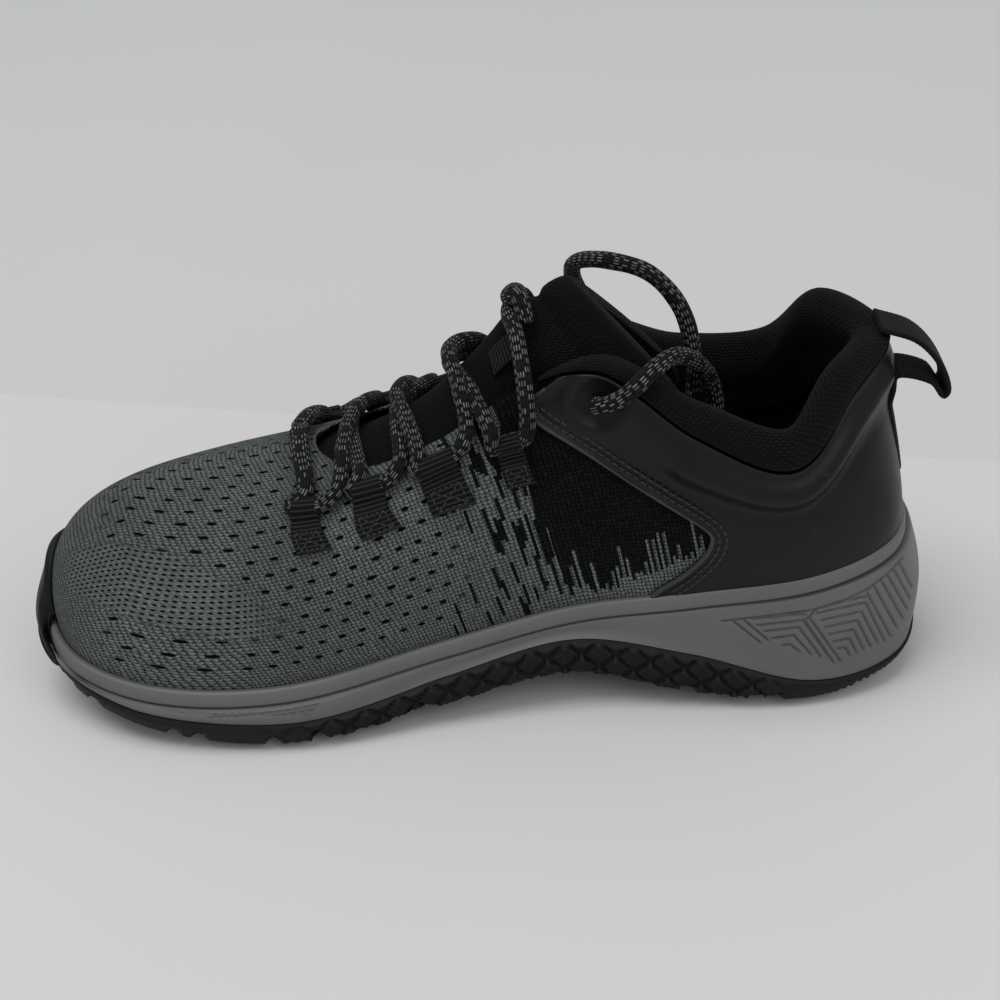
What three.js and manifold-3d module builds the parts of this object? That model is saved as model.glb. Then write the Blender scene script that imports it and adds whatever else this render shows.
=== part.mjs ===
// A low work sneaker for the right foot, standing empty on its sole.
// Toe at +X, inner side of the foot at +Y, up at +Z, floor at z = 0, origin under the heel's centre.
// All lengths are in millimetres.
import * as THREE from "three";
import { mergeVertices } from "three/addons/utils/BufferGeometryUtils.js";
import Module from "manifold-3d";

const wasm = await Module();
wasm.setup();

// Driving sizes of the whole shoe.
const length = 280; // outsole, heel to toe
const ballWidth = 100; // upper at the floor of the ball of the foot
const heelCentre = 38; // origin, ahead of the sole's back
const rimHeight = 44; // sidewall top beside the heel, above the floor
const bedHeight = 29; // footbed under the heel, above the floor
const collarHeight = 107; // back of the collar, above the floor
const heelFlare = 9; // how far the sole stands out behind the upper
const archHeight = 12; // clear height under the inner arch

// Walls, coverings and clearances.
const gap = 0.35; // between pieces that touch
const upperWall = 2;
const overlayWall = 1.4;
const overlayGap = 0.6; // under the covering, where its ribs and the upper's differ
const rimWall = 2.2;
const grooveDrop = 5.2; // parting groove, below the rim
const grooveDepth = 1.1;
const plateThickness = 5; // outsole from tread to midsole
const outsoleWall = 3; // outsole where it climbs the midsole
const treadInset = 9; // flat tread, in from the sole's edge
const insoleThickness = 5;
const bedGap = 0.55; // under the insole
const plateGap = 0.5; // between midsole and outsole
const insoleInset = 3.2;
const tongueThickness = 5;
const paddingThickness = 7;
const collarSwell = 2.6;

// The feather line, where the upper leaves the sole. A row for each rib, from the back of the heel
// along the inner side to the toe and home along the outer side.
// along: share of length. out: share of half the ball width. rim: share of rimHeight. bed: share of bedHeight.
const feather = table("along out rim bed", [
  [0.038, 0.0, 1.16, 1.03], // heel back
  [0.06, 0.44, 1.1, 1.03],
  [0.145, 0.66, 1.0, 1.0], // heel, inner side
  [0.27, 0.63, 0.88, 0.93],
  [0.4, 0.58, 0.76, 0.79], // waist
  [0.54, 0.71, 0.61, 0.61],
  [0.7, 0.93, 0.48, 0.5], // ball of the foot
  [0.84, 0.88, 0.46, 0.55],
  [0.936, 0.6, 0.53, 0.7],
  [0.972, 0.1, 0.61, 0.82], // toe
  [0.926, -0.46, 0.54, 0.7],
  [0.82, -0.81, 0.46, 0.55],
  [0.66, -1.0, 0.46, 0.5], // ball, outer side
  [0.51, -0.93, 0.55, 0.61],
  [0.385, -0.82, 0.68, 0.79],
  [0.265, -0.72, 0.84, 0.93],
  [0.145, -0.68, 1.0, 1.0],
  [0.06, -0.45, 1.1, 1.03],
]);

// The upper's edge round the throat and collar, and how each rib rises to it.
// top: share of collarHeight. rise: share of the height at which the rib turns in.
// reach and drop: how far the rib's last stretch lies flat, and falls. bulge: share of heelFlare.
const edge = table("along out top rise reach drop bulge", [
  [0.066, 0.0, 0.98, 0.36, 0.0, 0.3, -0.12],
  [0.112, 0.43, 0.91, 0.36, 0.0, 0.3, 0.1],
  [0.17, 0.68, 0.755, 0.36, 0.0, 0.35, 0.25],
  [0.265, 0.64, 0.855, 0.4, 0.0, 0.35, 0.2],
  [0.362, 0.46, 1.015, 0.4, 0.18, 0.3, 0.15],
  [0.455, 0.37, 0.93, 0.42, 0.3, 0.2, 0.2],
  [0.535, 0.38, 0.805, 0.46, 0.38, 0.2, 0.25],
  [0.608, 0.36, 0.73, 0.55, 0.42, 0.2, 0.25],
  [0.65, 0.22, 0.728, 0.7, 0.46, 0.17, 0.3],
  [0.666, 0.01, 0.733, 0.87, 0.48, 0.14, 0.3], // front of the throat
  [0.648, -0.22, 0.722, 0.7, 0.46, 0.19, 0.3],
  [0.604, -0.36, 0.725, 0.52, 0.42, 0.22, 0.25],
  [0.53, -0.38, 0.79, 0.45, 0.38, 0.23, 0.25],
  [0.45, -0.38, 0.9, 0.42, 0.3, 0.24, 0.2],
  [0.36, -0.46, 0.95, 0.4, 0.18, 0.3, 0.15],
  [0.265, -0.64, 0.785, 0.4, 0.0, 0.35, 0.2],
  [0.17, -0.68, 0.765, 0.36, 0.0, 0.35, 0.25],
  [0.112, -0.47, 0.955, 0.36, 0.0, 0.3, 0.1],
]);

// The sole's side. base: midsole over outsole, share of rimHeight. ground: the outsole's lower edge, share of archHeight.
// tread: the flat tread, share of archHeight, level with the floor where it is 0 or less.
// belly and foot: how far the midsole and the outsole's edge stand out, share of heelFlare.
const side = table("base ground tread belly foot", [
  [0.3, 0.7, -0.1, 1.0, 0.75],
  [0.22, 0.45, -0.1, 0.85, 0.72],
  [0.2, 0.16, -0.06, 0.6, 0.66], // heel, inner side
  [0.42, 0.4, 0.12, 0.42, 0.6],
  [0.54, 1.0, 0.8, 0.36, 0.62], // waist
  [0.37, 0.55, 0.35, 0.4, 0.55],
  [0.17, 0.12, -0.05, 0.52, 0.46],
  [0.19, 0.4, 0.18, 0.52, 0.4],
  [0.31, 1.0, 0.8, 0.5, 0.36],
  [0.38, 1.35, 1.15, 0.52, 0.34],
  [0.31, 1.0, 0.8, 0.5, 0.36],
  [0.19, 0.4, 0.18, 0.52, 0.4],
  [0.17, 0.12, -0.05, 0.5, 0.45],
  [0.24, 0.26, 0.06, 0.42, 0.45],
  [0.36, 0.5, 0.3, 0.42, 0.5],
  [0.34, 0.3, 0.12, 0.48, 0.55],
  [0.2, 0.16, -0.06, 0.6, 0.66],
  [0.22, 0.45, -0.1, 0.85, 0.72],
]);

const ribCount = feather.length;
const toeRib = ribCount / 2;

// Small mathematics.
function table(columns, rows) {
  const names = columns.split(" ");
  return rows.map((row) => Object.fromEntries(names.map((name, i) => [name, row[i]])));
}

function smooth(a, b, c, d, f) {
  return b + 0.5 * f * (c - a + f * (2 * a - 5 * b + 4 * c - d + f * (3 * (b - c) + d - a)));
}

// A column of a closed table at a place counted in ribs, which may be a fraction.
function around(rows, column, place) {
  const i = Math.floor(place);
  const at = (k) => rows[(((i + k) % rows.length) + rows.length) % rows.length][column];
  return smooth(at(-1), at(0), at(1), at(2), place - i);
}

// A column of an open table whose rows are evenly spaced over 0 to 1.
function ramp(rows, column, share) {
  const last = rows.length - 1;
  const i = Math.min(last - 1, Math.max(0, Math.floor(share * last)));
  const at = (k) => rows[Math.min(last, Math.max(0, i + k))][column];
  return smooth(at(-1), at(0), at(1), at(2), share * last - i);
}

const lerp = (a, b, f) => a + (b - a) * f;
const clamp01 = (v) => Math.min(1, Math.max(0, v));
const ease = (a, b, v) => {
  const f = clamp01((v - a) / (b - a));
  return f * f * (3 - 2 * f);
};
const steps = (count, from = 0, to = 1) =>
  Array.from({ length: count + 1 }, (_, i) => lerp(from, to, i / count));

// The feather line and the directions that leave it.
function featherPoint(place) {
  return new THREE.Vector3(
    around(feather, "along", place) * length - heelCentre,
    (around(feather, "out", place) * ballWidth) / 2,
    around(feather, "rim", place) * rimHeight,
  );
}

function outward(place) {
  const step = 0.02;
  const d = featherPoint(place + step).sub(featherPoint(place - step));
  return new THREE.Vector3(-d.y, d.x, 0).normalize();
}

function edgePoint(place) {
  return new THREE.Vector3(
    around(edge, "along", place) * length - heelCentre,
    (around(edge, "out", place) * ballWidth) / 2,
    around(edge, "top", place) * collarHeight,
  );
}

// The outer face of the upper. v runs from -1 at the footbed by 0 at the rim to 1 at the edge.
function wallPoint(place, v) {
  const low = featherPoint(place);
  if (v <= 0) {
    low.z = lerp(low.z, around(feather, "bed", place) * bedHeight + gap, -v);
    return low;
  }
  const high = edgePoint(place);
  const height = high.z - low.z;
  const lowHandle = low.clone().addScaledVector(outward(place), around(edge, "bulge", place) * heelFlare);
  lowHandle.z += around(edge, "rise", place) * height;
  const reach = around(edge, "reach", place);
  const highHandle = new THREE.Vector3(
    lerp(high.x, low.x, reach),
    lerp(high.y, low.y, reach),
    high.z - around(edge, "drop", place) * height,
  );
  return new THREE.CubicBezierCurve3(low, lowHandle, highHandle, high).getPoint(v);
}

function wallNormal(place, v) {
  const step = 0.01;
  const from = Math.max(0, Math.min(1 - step, v - step / 2));
  const up = wallPoint(place, from + step).sub(wallPoint(place, from));
  const along = wallPoint(place + step, v).sub(wallPoint(place - step, v));
  return up.cross(along).normalize();
}

// The padding under the collar pushes the quarters out in a soft band.
function ribsFromHeel(place) {
  const wrapped = ((place % ribCount) + ribCount) % ribCount;
  return Math.min(wrapped, ribCount - wrapped);
}

function swell(place, v) {
  const fade = 1 - ease(3.2, 4.6, ribsFromHeel(place));
  return collarSwell * fade * ease(0.6, 0.82, v) * (1 - 0.55 * ease(0.86, 1, v));
}

// A point above (or, where the offset is negative, below) the upper's outer face.
function onUpper(place, v, offset) {
  return wallPoint(place, v).addScaledVector(wallNormal(place, v), offset + swell(place, v));
}

// Closed meshes from grids of points, and solids from closed meshes.
function solidFromTriangles(points, triangles) {
  const geometry = new THREE.BufferGeometry();
  geometry.setAttribute("position", new THREE.Float32BufferAttribute(points.flatMap((p) => [p.x, p.y, p.z]), 3));
  geometry.setIndex(triangles);
  return solidOf(geometry);
}

function solidOf(geometry) {
  const plain = geometry.clone();
  plain.deleteAttribute("normal");
  plain.deleteAttribute("uv");
  const merged = mergeVertices(plain, 1e-4);
  const index = [...merged.index.array];
  const kept = [];
  for (let i = 0; i < index.length; i += 3) {
    const [a, b, c] = index.slice(i, i + 3);
    if (a !== b && b !== c && c !== a) kept.push(a, b, c);
  }
  const made = new wasm.Manifold(
    new wasm.Mesh({
      numProp: 3,
      vertProperties: new Float32Array(merged.attributes.position.array),
      triVerts: new Uint32Array(kept),
    }),
  );
  if (made.volume() > 0) return made;
  for (let i = 0; i < kept.length; i += 3) [kept[i], kept[i + 1]] = [kept[i + 1], kept[i]];
  return new wasm.Manifold(
    new wasm.Mesh({
      numProp: 3,
      vertProperties: new Float32Array(merged.attributes.position.array),
      triVerts: new Uint32Array(kept),
    }),
  );
}

// Quads between neighbouring rows of a grid, each split along its shorter diagonal.
function quads(rows, closedRows, closedPoints) {
  const triangles = [];
  const size = rows[0].length;
  for (let i = 0; i < rows.length - (closedRows ? 0 : 1); i++)
    for (let j = 0; j < size - (closedPoints ? 0 : 1); j++) {
      const [i2, j2] = [(i + 1) % rows.length, (j + 1) % size];
      const [a, b, c, d] = [i * size + j, i * size + j2, i2 * size + j2, i2 * size + j];
      const first = rows[i][j].distanceTo(rows[i2][j2]);
      const second = rows[i][j2].distanceTo(rows[i2][j]);
      triangles.push(...(first < second ? [a, b, c, a, c, d] : [a, b, d, b, c, d]));
    }
  return triangles;
}

// Sections that close into a ring, each one a closed outline.
function ringLoft(sections) {
  return solidFromTriangles(sections.flat(), quads(sections, true, true));
}

// Sections in a row with a cap at each end. A cap joins the outline's points pairwise from both its ends.
function cappedLoft(sections) {
  const size = sections[0].length;
  const triangles = quads(sections, false, true);
  for (const [base, flip] of [[0, false], [(sections.length - 1) * size, true]])
    for (let k = 0; k < size / 2 - 1; k++) {
      const [a, b, c, d] = [k, k + 1, size - 2 - k, size - 1 - k].map((n) => base + n);
      triangles.push(...(flip ? [a, b, c, a, c, d] : [a, c, b, a, d, c]));
    }
  return solidFromTriangles(sections.flat(), triangles);
}

// A body whose rib sections start and end on its spine, where the two sides meet.
function spineLoft(sectionAt, count) {
  const places = steps(count, 0, ribCount).slice(0, -1);
  const sections = places.map(sectionAt);
  return solidFromTriangles(sections.flat(), quads(sections, true, false));
}

const spineEnds = [5 / 3, 22 / 3]; // ribs where the middle line starts and stops

function spinePoint(place, zOf) {
  const near = Math.min(spineEnds[1], Math.max(spineEnds[0], Math.min(place, ribCount - place)));
  const [a, b] = [featherPoint(near), featherPoint(ribCount - near)];
  return new THREE.Vector3((a.x + b.x) / 2, (a.y + b.y) / 2, (zOf(near) + zOf(ribCount - near)) / 2);
}

// Points in a rib's own upright plane: distance out from the feather line, and height.
function ribPoint(place, out, z) {
  const p = featherPoint(place).addScaledVector(outward(place), out);
  p.z = z;
  return p;
}

const rimZ = (place) => around(feather, "rim", place) * rimHeight;
const bedZ = (place) => around(feather, "bed", place) * bedHeight;
const baseZ = (place) => around(side, "base", place) * rimHeight;
const groundZ = (place) => Math.max(0, around(side, "ground", place) * archHeight);
const treadZ = (place) => Math.max(0, around(side, "tread", place) * archHeight);
const plateZ = (place) => treadZ(place) + plateThickness;
const bellyOut = (place) => around(side, "belly", place) * heelFlare;
const footOut = (place) => around(side, "foot", place) * heelFlare;
const coreOut = (place) => Math.min(bellyOut(place), footOut(place)) - outsoleWall;

const ringSteps = 54; // three to a rib

function makeMidsole() {
  return spineLoft((place) => {
    const rim = rimZ(place);
    const groove = rim - grooveDrop;
    const base = Math.max(baseZ(place), plateZ(place) + 2 * gap);
    const belly = bellyOut(place);
    const bellyZ = lerp(base, groove, 0.42);
    return [
      spinePoint(place, bedZ),
      ribPoint(place, gap, bedZ(place)),
      ribPoint(place, gap, rim),
      ribPoint(place, rimWall, rim),
      ribPoint(place, rimWall + 0.9, rim - 2),
      ribPoint(place, rimWall + 1, groove + 0.5),
      ribPoint(place, rimWall + 1 - grooveDepth, groove),
      ribPoint(place, lerp(rimWall + 1, belly, 0.45), groove - 1.2),
      ribPoint(place, belly, bellyZ),
      ribPoint(place, lerp(belly, footOut(place), 0.6), base),
      ribPoint(place, coreOut(place), base),
      ribPoint(place, coreOut(place), plateZ(place) + plateGap),
      spinePoint(place, (p) => plateZ(p) + plateGap),
    ];
  }, ringSteps);
}

function makeOutsoleBody() {
  return spineLoft((place) => {
    const base = Math.max(baseZ(place), plateZ(place) + 2 * gap) - gap;
    const foot = footOut(place);
    const ground = groundZ(place);
    const shoulder = lerp(bellyOut(place), foot, 0.6);
    return [
      spinePoint(place, plateZ),
      ribPoint(place, coreOut(place) + plateGap, plateZ(place)),
      ribPoint(place, coreOut(place) + plateGap, base),
      ribPoint(place, shoulder, base),
      ribPoint(place, foot + 0.4, lerp(base, ground, 0.6)),
      ribPoint(place, foot, ground + 0.8),
      ribPoint(place, foot - 2, ground),
      ribPoint(place, foot - treadInset, treadZ(place)),
      spinePoint(place, treadZ),
    ];
  }, ringSteps);
}

// Grooves that part the tread into its main lugs.
const grooves = table("along angle", [
  [0.065, 0],
  [0.115, 14],
  [0.165, -14],
  [0.215, 14],
  [0.275, 0],
  [0.56, 0],
  [0.615, 16],
  [0.67, -16],
  [0.725, 16],
  [0.78, -16],
  [0.84, 12],
  [0.895, -10],
  [0.95, 0],
]);
const grooveWidth = 4.4;
const lugHeight = 3;

function treadZAt(x) {
  let nearest = 0;
  for (const place of steps(ringSteps, 0, toeRib))
    if (Math.abs(featherPoint(place).x - x) < Math.abs(featherPoint(nearest).x - x)) nearest = place;
  return treadZ(nearest);
}

function makeOutsole() {
  let made = makeOutsoleBody().add(makeBumper());
  for (const { along, angle } of grooves) {
    const x = along * length - heelCentre;
    const box = new THREE.BoxGeometry(grooveWidth, ballWidth * 1.4, 4 * lugHeight);
    box.rotateZ(THREE.MathUtils.degToRad(angle));
    box.translate(x, 0, treadZAt(x) - lugHeight);
    made = made.subtract(solidOf(box));
  }
  return made;
}

// The rubber that climbs over the front of the toe.
const bumperRib = 9.12; // its middle
const bumperHalf = 0.58; // ribs to either side at the rim
const bumperSpread = 0.5; // ribs it gains on the way down
const bumperTop = 48; // above the floor
const bumperWall = 2;

// The outer face of midsole and upper at a height, pushed out by an offset.
function skinPoint(place, z, offset) {
  const rim = rimZ(place);
  if (z < rim + 2.5) {
    const out = z < rim - grooveDrop ? bellyOut(place) : rimWall + 1;
    return ribPoint(place, Math.max(out, rimWall + 1) + offset, z);
  }
  let [low, high] = [0, 0.9];
  for (let i = 0; i < 16; i++) {
    const middle = (low + high) / 2;
    if (wallPoint(place, middle).z < z) low = middle;
    else high = middle;
  }
  return wallPoint(place, low).addScaledVector(wallNormal(place, Math.max(low, 0.05)), offset);
}

function bumperSection(s) {
  const crown = Math.sqrt(Math.max(0, 1 - s * s));
  const at = (share) => bumperRib + s * (bumperHalf + bumperSpread * (1 - share) ** 2);
  const rim = rimZ(at(0.5));
  const top = lerp(rim - 3, bumperTop, crown);
  const low = groundZ(at(0)) + 1.4;
  const base = Math.max(baseZ(at(0)), plateZ(at(0)) + 2 * gap);
  const shares = [0.1, 0.3, 0.45, 0.6, 0.8, 1];
  const face = (wall) =>
    shares.map((share) =>
      skinPoint(at(share), lerp(base, top, share), gap + 0.25 + wall * lerp(0.4, 1, clamp01(2 * share))),
    );
  const foot = footOut(at(0));
  return [
    ribPoint(at(0), foot - 1.2, low),
    ribPoint(at(0), bellyOut(at(0)) + gap + 1, base - 1.7),
    ...face(bumperWall),
    ...face(0).reverse(),
    ribPoint(at(0), bellyOut(at(0)) + gap + 0.25, base - gap - 0.2),
    ribPoint(at(0), foot - 1.2, base - gap - 0.2),
  ];
}

function makeBumper() {
  return cappedLoft(steps(12, -1, 1).map(bumperSection));
}

const wallLevels = [0.1, 0.22, 0.34, 0.46, 0.58, 0.7, 0.8, 0.9, 1];

function makeUpper() {
  const levels = [-1, 0, ...wallLevels];
  return ringLoft(
    steps(ringSteps, 0, ribCount)
      .slice(0, -1)
      .map((place) => [
        ...levels.map((v) => onUpper(place, v, 0)),
        ...levels.toReversed().map((v) => onUpper(place, v, -upperWall)),
      ]),
  );
}

// The smooth covering of heel and quarters. Its front edge runs round the window of bare knit.
// rib: the place of the front edge at evenly spaced heights from the rim to the collar.
const overlayFront = table("rib", [
  [3.34], [3.1], [2.94], [2.86], [2.88], [3.18], [3.82], [4.26], [4.58], [4.76], [4.44],
]);

function overlayPlace(across, v) {
  const reach = ramp(overlayFront, "rib", clamp01(v));
  return lerp(-reach, reach, across);
}

function makeOverlay() {
  const levels = [0.012, ...wallLevels];
  const face = (across, offset) => levels.map((v) => onUpper(overlayPlace(across, v), v, offset));
  return cappedLoft(
    steps(36).map((across) => [...face(across, overlayGap + overlayWall), ...face(across, overlayGap).reverse()]),
  );
}

// Padded knit lining: it hangs inside the quarters and stands over their edge as a soft roll.
// over: height of the roll above the edge. pad: its thickness inside the wall. Both are shares of
// paddingThickness. Rows run from the heel's back.
const liningReach = 14 / 3; // ribs from the heel, on either side
const lining = table("over pad", [
  [0.4, 0.93],
  [1.07, 1],
  [1.5, 1],
  [1.36, 0.93],
  [0.57, 0.79],
  [0.21, 0.43],
]);

function liningSection(place) {
  const share = ribsFromHeel(place) / liningReach;
  const over = ramp(lining, "over", share) * paddingThickness;
  const pad = ramp(lining, "pad", share) * paddingThickness;
  const inside = -upperWall - gap;
  const outside = overlayGap + overlayWall;
  const top = edgePoint(place);
  const normal = wallNormal(place, 1);
  const up = wallPoint(place, 1).sub(wallPoint(place, 0.97)).normalize();
  const roll = (rise, off) =>
    top.clone().addScaledVector(up, 2 * gap + rise * over).addScaledVector(normal, off + swell(place, 1));
  return [
    ...wallLevels.slice(4).map((v) => onUpper(place, v, inside)),
    roll(0, inside),
    roll(0, outside),
    roll(0.45, outside - 0.2),
    roll(0.8, outside - 0.28 * pad),
    roll(1, outside - 0.7 * pad),
    roll(0.9, inside - 0.6 * pad),
    roll(0.45, inside - 0.95 * pad),
    ...[1, 0.9, 0.8, 0.7, 0.58].map((v, i) => onUpper(place, v, inside - pad * [1.02, 0.95, 0.7, 0.45, 0.25][i])),
  ];
}

function makeLining() {
  return cappedLoft(steps(6 * liningReach, -liningReach, liningReach).map(liningSection));
}

// The tongue, from under the throat's front to its peak over the instep.
// rib: the throat's edge beside it. along and top: its middle line, shares of length and collarHeight.
// under: how far its wings lie below the upper's outer face, share of tongueThickness.
// low: how far down the inside they reach.
const tongueRows = table("rib along top under low", [
  [8.1, 0.7, 0.668, 0.58, 0.86],
  [7.6, 0.655, 0.7, 0.58, 0.86],
  [6.9, 0.6, 0.765, 0.58, 0.86],
  [6.2, 0.55, 0.84, 0.58, 0.84],
  [5.5, 0.5, 0.955, 0.68, 0.8],
  [4.85, 0.455, 1.085, 1.44, 0.76],
  [4.2, 0.42, 1.155, 1.84, 0.72],
  [3.6, 0.396, 1.188, 2, 0.7],
  [3.15, 0.386, 1.193, 2.12, 0.68],
]);

function tongueSection(share) {
  const row = (column) => ramp(tongueRows, column, share);
  const rib = row("rib");
  const middle = new THREE.Vector3(
    row("along") * length - heelCentre,
    (around(edge, "out", rib) + around(edge, "out", ribCount - rib)) * 0.25 * ballWidth,
    row("top") * collarHeight,
  );
  const depth = -row("under") * tongueThickness;
  const wing = (place) => [row("low"), lerp(row("low"), 1, 0.5), 0.99].map((v) => onUpper(place, v, depth));
  const [innerSide, outerSide] = [wing(rib), wing(ribCount - rib)];
  const curve = new THREE.CatmullRomCurve3([...innerSide, middle, ...outerSide.reverse()], false, "centripetal");
  const face = curve.getPoints(14);
  const inner = face.map((p, i) => {
    const across = face[Math.min(14, i + 1)].clone().sub(face[Math.max(0, i - 1)]);
    const along = new THREE.Vector3(-1, 0, 0.75);
    const down = across.cross(along).normalize();
    if (down.z > 0.2) down.negate();
    const edgeShare = Math.min(i, 14 - i) / 3;
    const thin = Math.min(1, 0.35 + 0.65 * edgeShare) * (0.5 + 0.5 * Math.min(1, share * 5));
    return p.clone().addScaledVector(down, tongueThickness * thin);
  });
  return [...face, ...inner.reverse()];
}

function makeTongue() {
  return cappedLoft(steps(tongueSteps).map(tongueSection));
}

function makeInsole() {
  return spineLoft((place) => [
    spinePoint(place, (p) => bedZ(p) + bedGap + insoleThickness),
    ribPoint(place, -insoleInset - 1, bedZ(place) + bedGap + insoleThickness),
    ribPoint(place, -insoleInset, bedZ(place) + bedGap + insoleThickness - 1),
    ribPoint(place, -insoleInset, bedZ(place) + bedGap),
    spinePoint(place, (p) => bedZ(p) + bedGap),
  ], ringSteps);
}

// Webbing tabs sewn to the upper beside the throat; the lace runs through their thick upper end.
// rib, v: middle of the upper end. lowRib, lowV: middle of the lower end. half: half width in ribs.
const tabs = table("rib v lowRib lowV half", [
  [6.88, 0.77, 6.22, 0.53, 0.17],
  [6.3, 0.815, 5.68, 0.53, 0.18],
  [5.58, 0.81, 5.08, 0.51, 0.2],
  [4.82, 0.755, 4.54, 0.53, 0.14],
]);
const tabWall = 1.5;
const tabFold = 3.6; // thickness where the webbing folds round the lace

const sideRib = (rib, hand) => (hand > 0 ? rib : ribCount - rib);

function tabPoint(row, hand, a, b, offset) {
  const rib = lerp(row.rib, row.lowRib, b) + a * row.half;
  return onUpper(sideRib(rib, hand), lerp(row.v, row.lowV, b), offset);
}

function makeTab(row, hand) {
  const shares = [0, 0.18, 0.42, 1];
  const thick = [tabFold * 0.55, tabFold, tabWall + 0.4, tabWall];
  const outline = (a) => [
    ...shares.map((b, i) => tabPoint(row, hand, a, b, overlayGap + thick[i])),
    ...shares.map((b) => tabPoint(row, hand, a, b, overlayGap)).reverse(),
  ];
  return cappedLoft([-1, -0.35, 0.35, 1].map(outline));
}

// Laces: one bar across the front of the throat, a crossing between each two rows, and two free ends.
const laceRadius = 2.6;
const laceSides = 8;

function tube(points, count) {
  const ring = steps(laceSides, 0, 2 * Math.PI).slice(0, -1);
  const shape = new THREE.Shape(
    ring.map((angle) => new THREE.Vector2(Math.cos(angle), Math.sin(angle)).multiplyScalar(laceRadius)),
  );
  const path = new THREE.CatmullRomCurve3(points, false, "centripetal");
  return solidOf(new THREE.ExtrudeGeometry(shape, { steps: count, extrudePath: path, curveSegments: 1 }));
}

const eyelet = { rib: 3.96, v: 0.88 };
const laceRest = laceRadius + 1.6 * gap; // middle of a strand above the knit
const overRest = laceRest + overlayGap + overlayWall; // and above the covering
const laceClear = 0.05; // bare upper between a tab and the strand it holds

// Where a strand starts beside a tab's upper end. a is -1 at the tab's back and 1 at its front.
function tabEnd(index, hand, a) {
  if (index === tabs.length) return besideTongue(hand);
  const row = tabs[index];
  const rest = index === tabs.length - 1 ? overRest : laceRest;
  return onUpper(sideRib(row.rib + a * row.half * 0.8, hand), row.v + laceClear, rest);
}

// Where the last crossing goes down between tongue and collar.
function besideTongue(hand) {
  const outline = tongueSection(0.66);
  const spot = outline[hand > 0 ? 5 : 9].clone();
  return spot.add(new THREE.Vector3(0, hand * 0.6, 1).setLength(laceRadius + 5 * gap));
}

const overTongue = (along, top) => new THREE.Vector3(along * length - heelCentre, 0, top * collarHeight);
// along, top: where each crossing's middle hangs over the tongue. lift: how far its shoulders rise.
const crossings = table("along top lift", [
  [0.628, 0.77, 1],
  [0.575, 0.84, 0.6],
  [0.517, 0.975, 1.1],
  [0.452, 1.13, 3.9],
]);

function strand(from, middle, to, lift) {
  const shoulder = (end) => {
    const p = end.clone().lerp(middle, 0.5);
    p.z += 0.2 * Math.abs(middle.z - end.z) + lift;
    return p;
  };
  return tube([from, shoulder(from), middle, shoulder(to), to], 8);
}

function makeCrossing(index) {
  const { along, top, lift } = crossings[index];
  const middle = overTongue(along, top);
  const [one, two] = [1, -1].map((hand) =>
    strand(tabEnd(index, hand, -1), middle, tabEnd(index + 1, -hand, 1), lift),
  );
  return one.add(two);
}

function makeBar() {
  return strand(tabEnd(0, 1, 1), overTongue(0.684, 0.762), tabEnd(0, -1, 1), 0.6);
}

// The ends leave the top eyelets and drop into the shoe. Shares of length, half the ball width and collarHeight.
const innerEnd = table("along out top", [
  [0.352, 0.64, 0.965],
  [0.333, 0.65, 1.0],
  [0.314, 0.59, 1.036],
  [0.289, 0.43, 1.043],
  [0.264, 0.24, 0.985],
  [0.245, 0.1, 0.9],
  [0.236, 0.05, 0.8],
  [0.236, 0.03, 0.64],
]);
const outerEnd = table("along out top", [
  [0.37, -0.61, 0.99],
  [0.382, -0.55, 1.08],
  [0.378, -0.4, 1.155],
  [0.345, -0.2, 1.195],
  [0.305, -0.1, 1.175],
  [0.275, -0.05, 1.09],
  [0.26, -0.03, 0.96],
  [0.258, -0.04, 0.8],
  [0.262, -0.06, 0.62],
]);

function makeEnd(rows, hand, count) {
  const points = rows.map(
    ({ along, out, top }) =>
      new THREE.Vector3(along * length - heelCentre, (out * ballWidth) / 2, top * collarHeight),
  );
  const inEyelet = [1, overRest].map((offset) => onUpper(sideRib(eyelet.rib, hand), eyelet.v, offset));
  return tube([...inEyelet, ...points], count);
}

const eyeletRadius = 3.1;

function eyeletCutter(hand) {
  const rib = sideRib(eyelet.rib, hand);
  const cylinder = new THREE.CylinderGeometry(eyeletRadius, eyeletRadius, 30, 10);
  cylinder.applyQuaternion(
    new THREE.Quaternion().setFromUnitVectors(new THREE.Vector3(0, 1, 0), wallNormal(rib, eyelet.v)),
  );
  const centre = onUpper(rib, eyelet.v, 0);
  cylinder.translate(centre.x, centre.y, centre.z);
  return solidOf(cylinder);
}

const eyelets = [eyeletCutter(1), eyeletCutter(-1)];
const withEyelets = (solid) => solid.subtract(eyelets[0]).subtract(eyelets[1]);

const tongueSteps = 12;

// The pull loop: webbing that climbs the back of the heel, folds out and back, and lies on the collar.
const loopWidth = 14;
const loopWall = 1.8;
// Where it folds out and back, from the collar's back edge: shares of collarHeight.
const loopFold = table("behind up", [
  [0.1447, -0.1193],
  [0.1821, -0.165],
  [0.1933, -0.1501],
  [0.168, -0.0725],
  [0.0979, 0.0069],
  [-0.0049, 0.048],
]);

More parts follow.
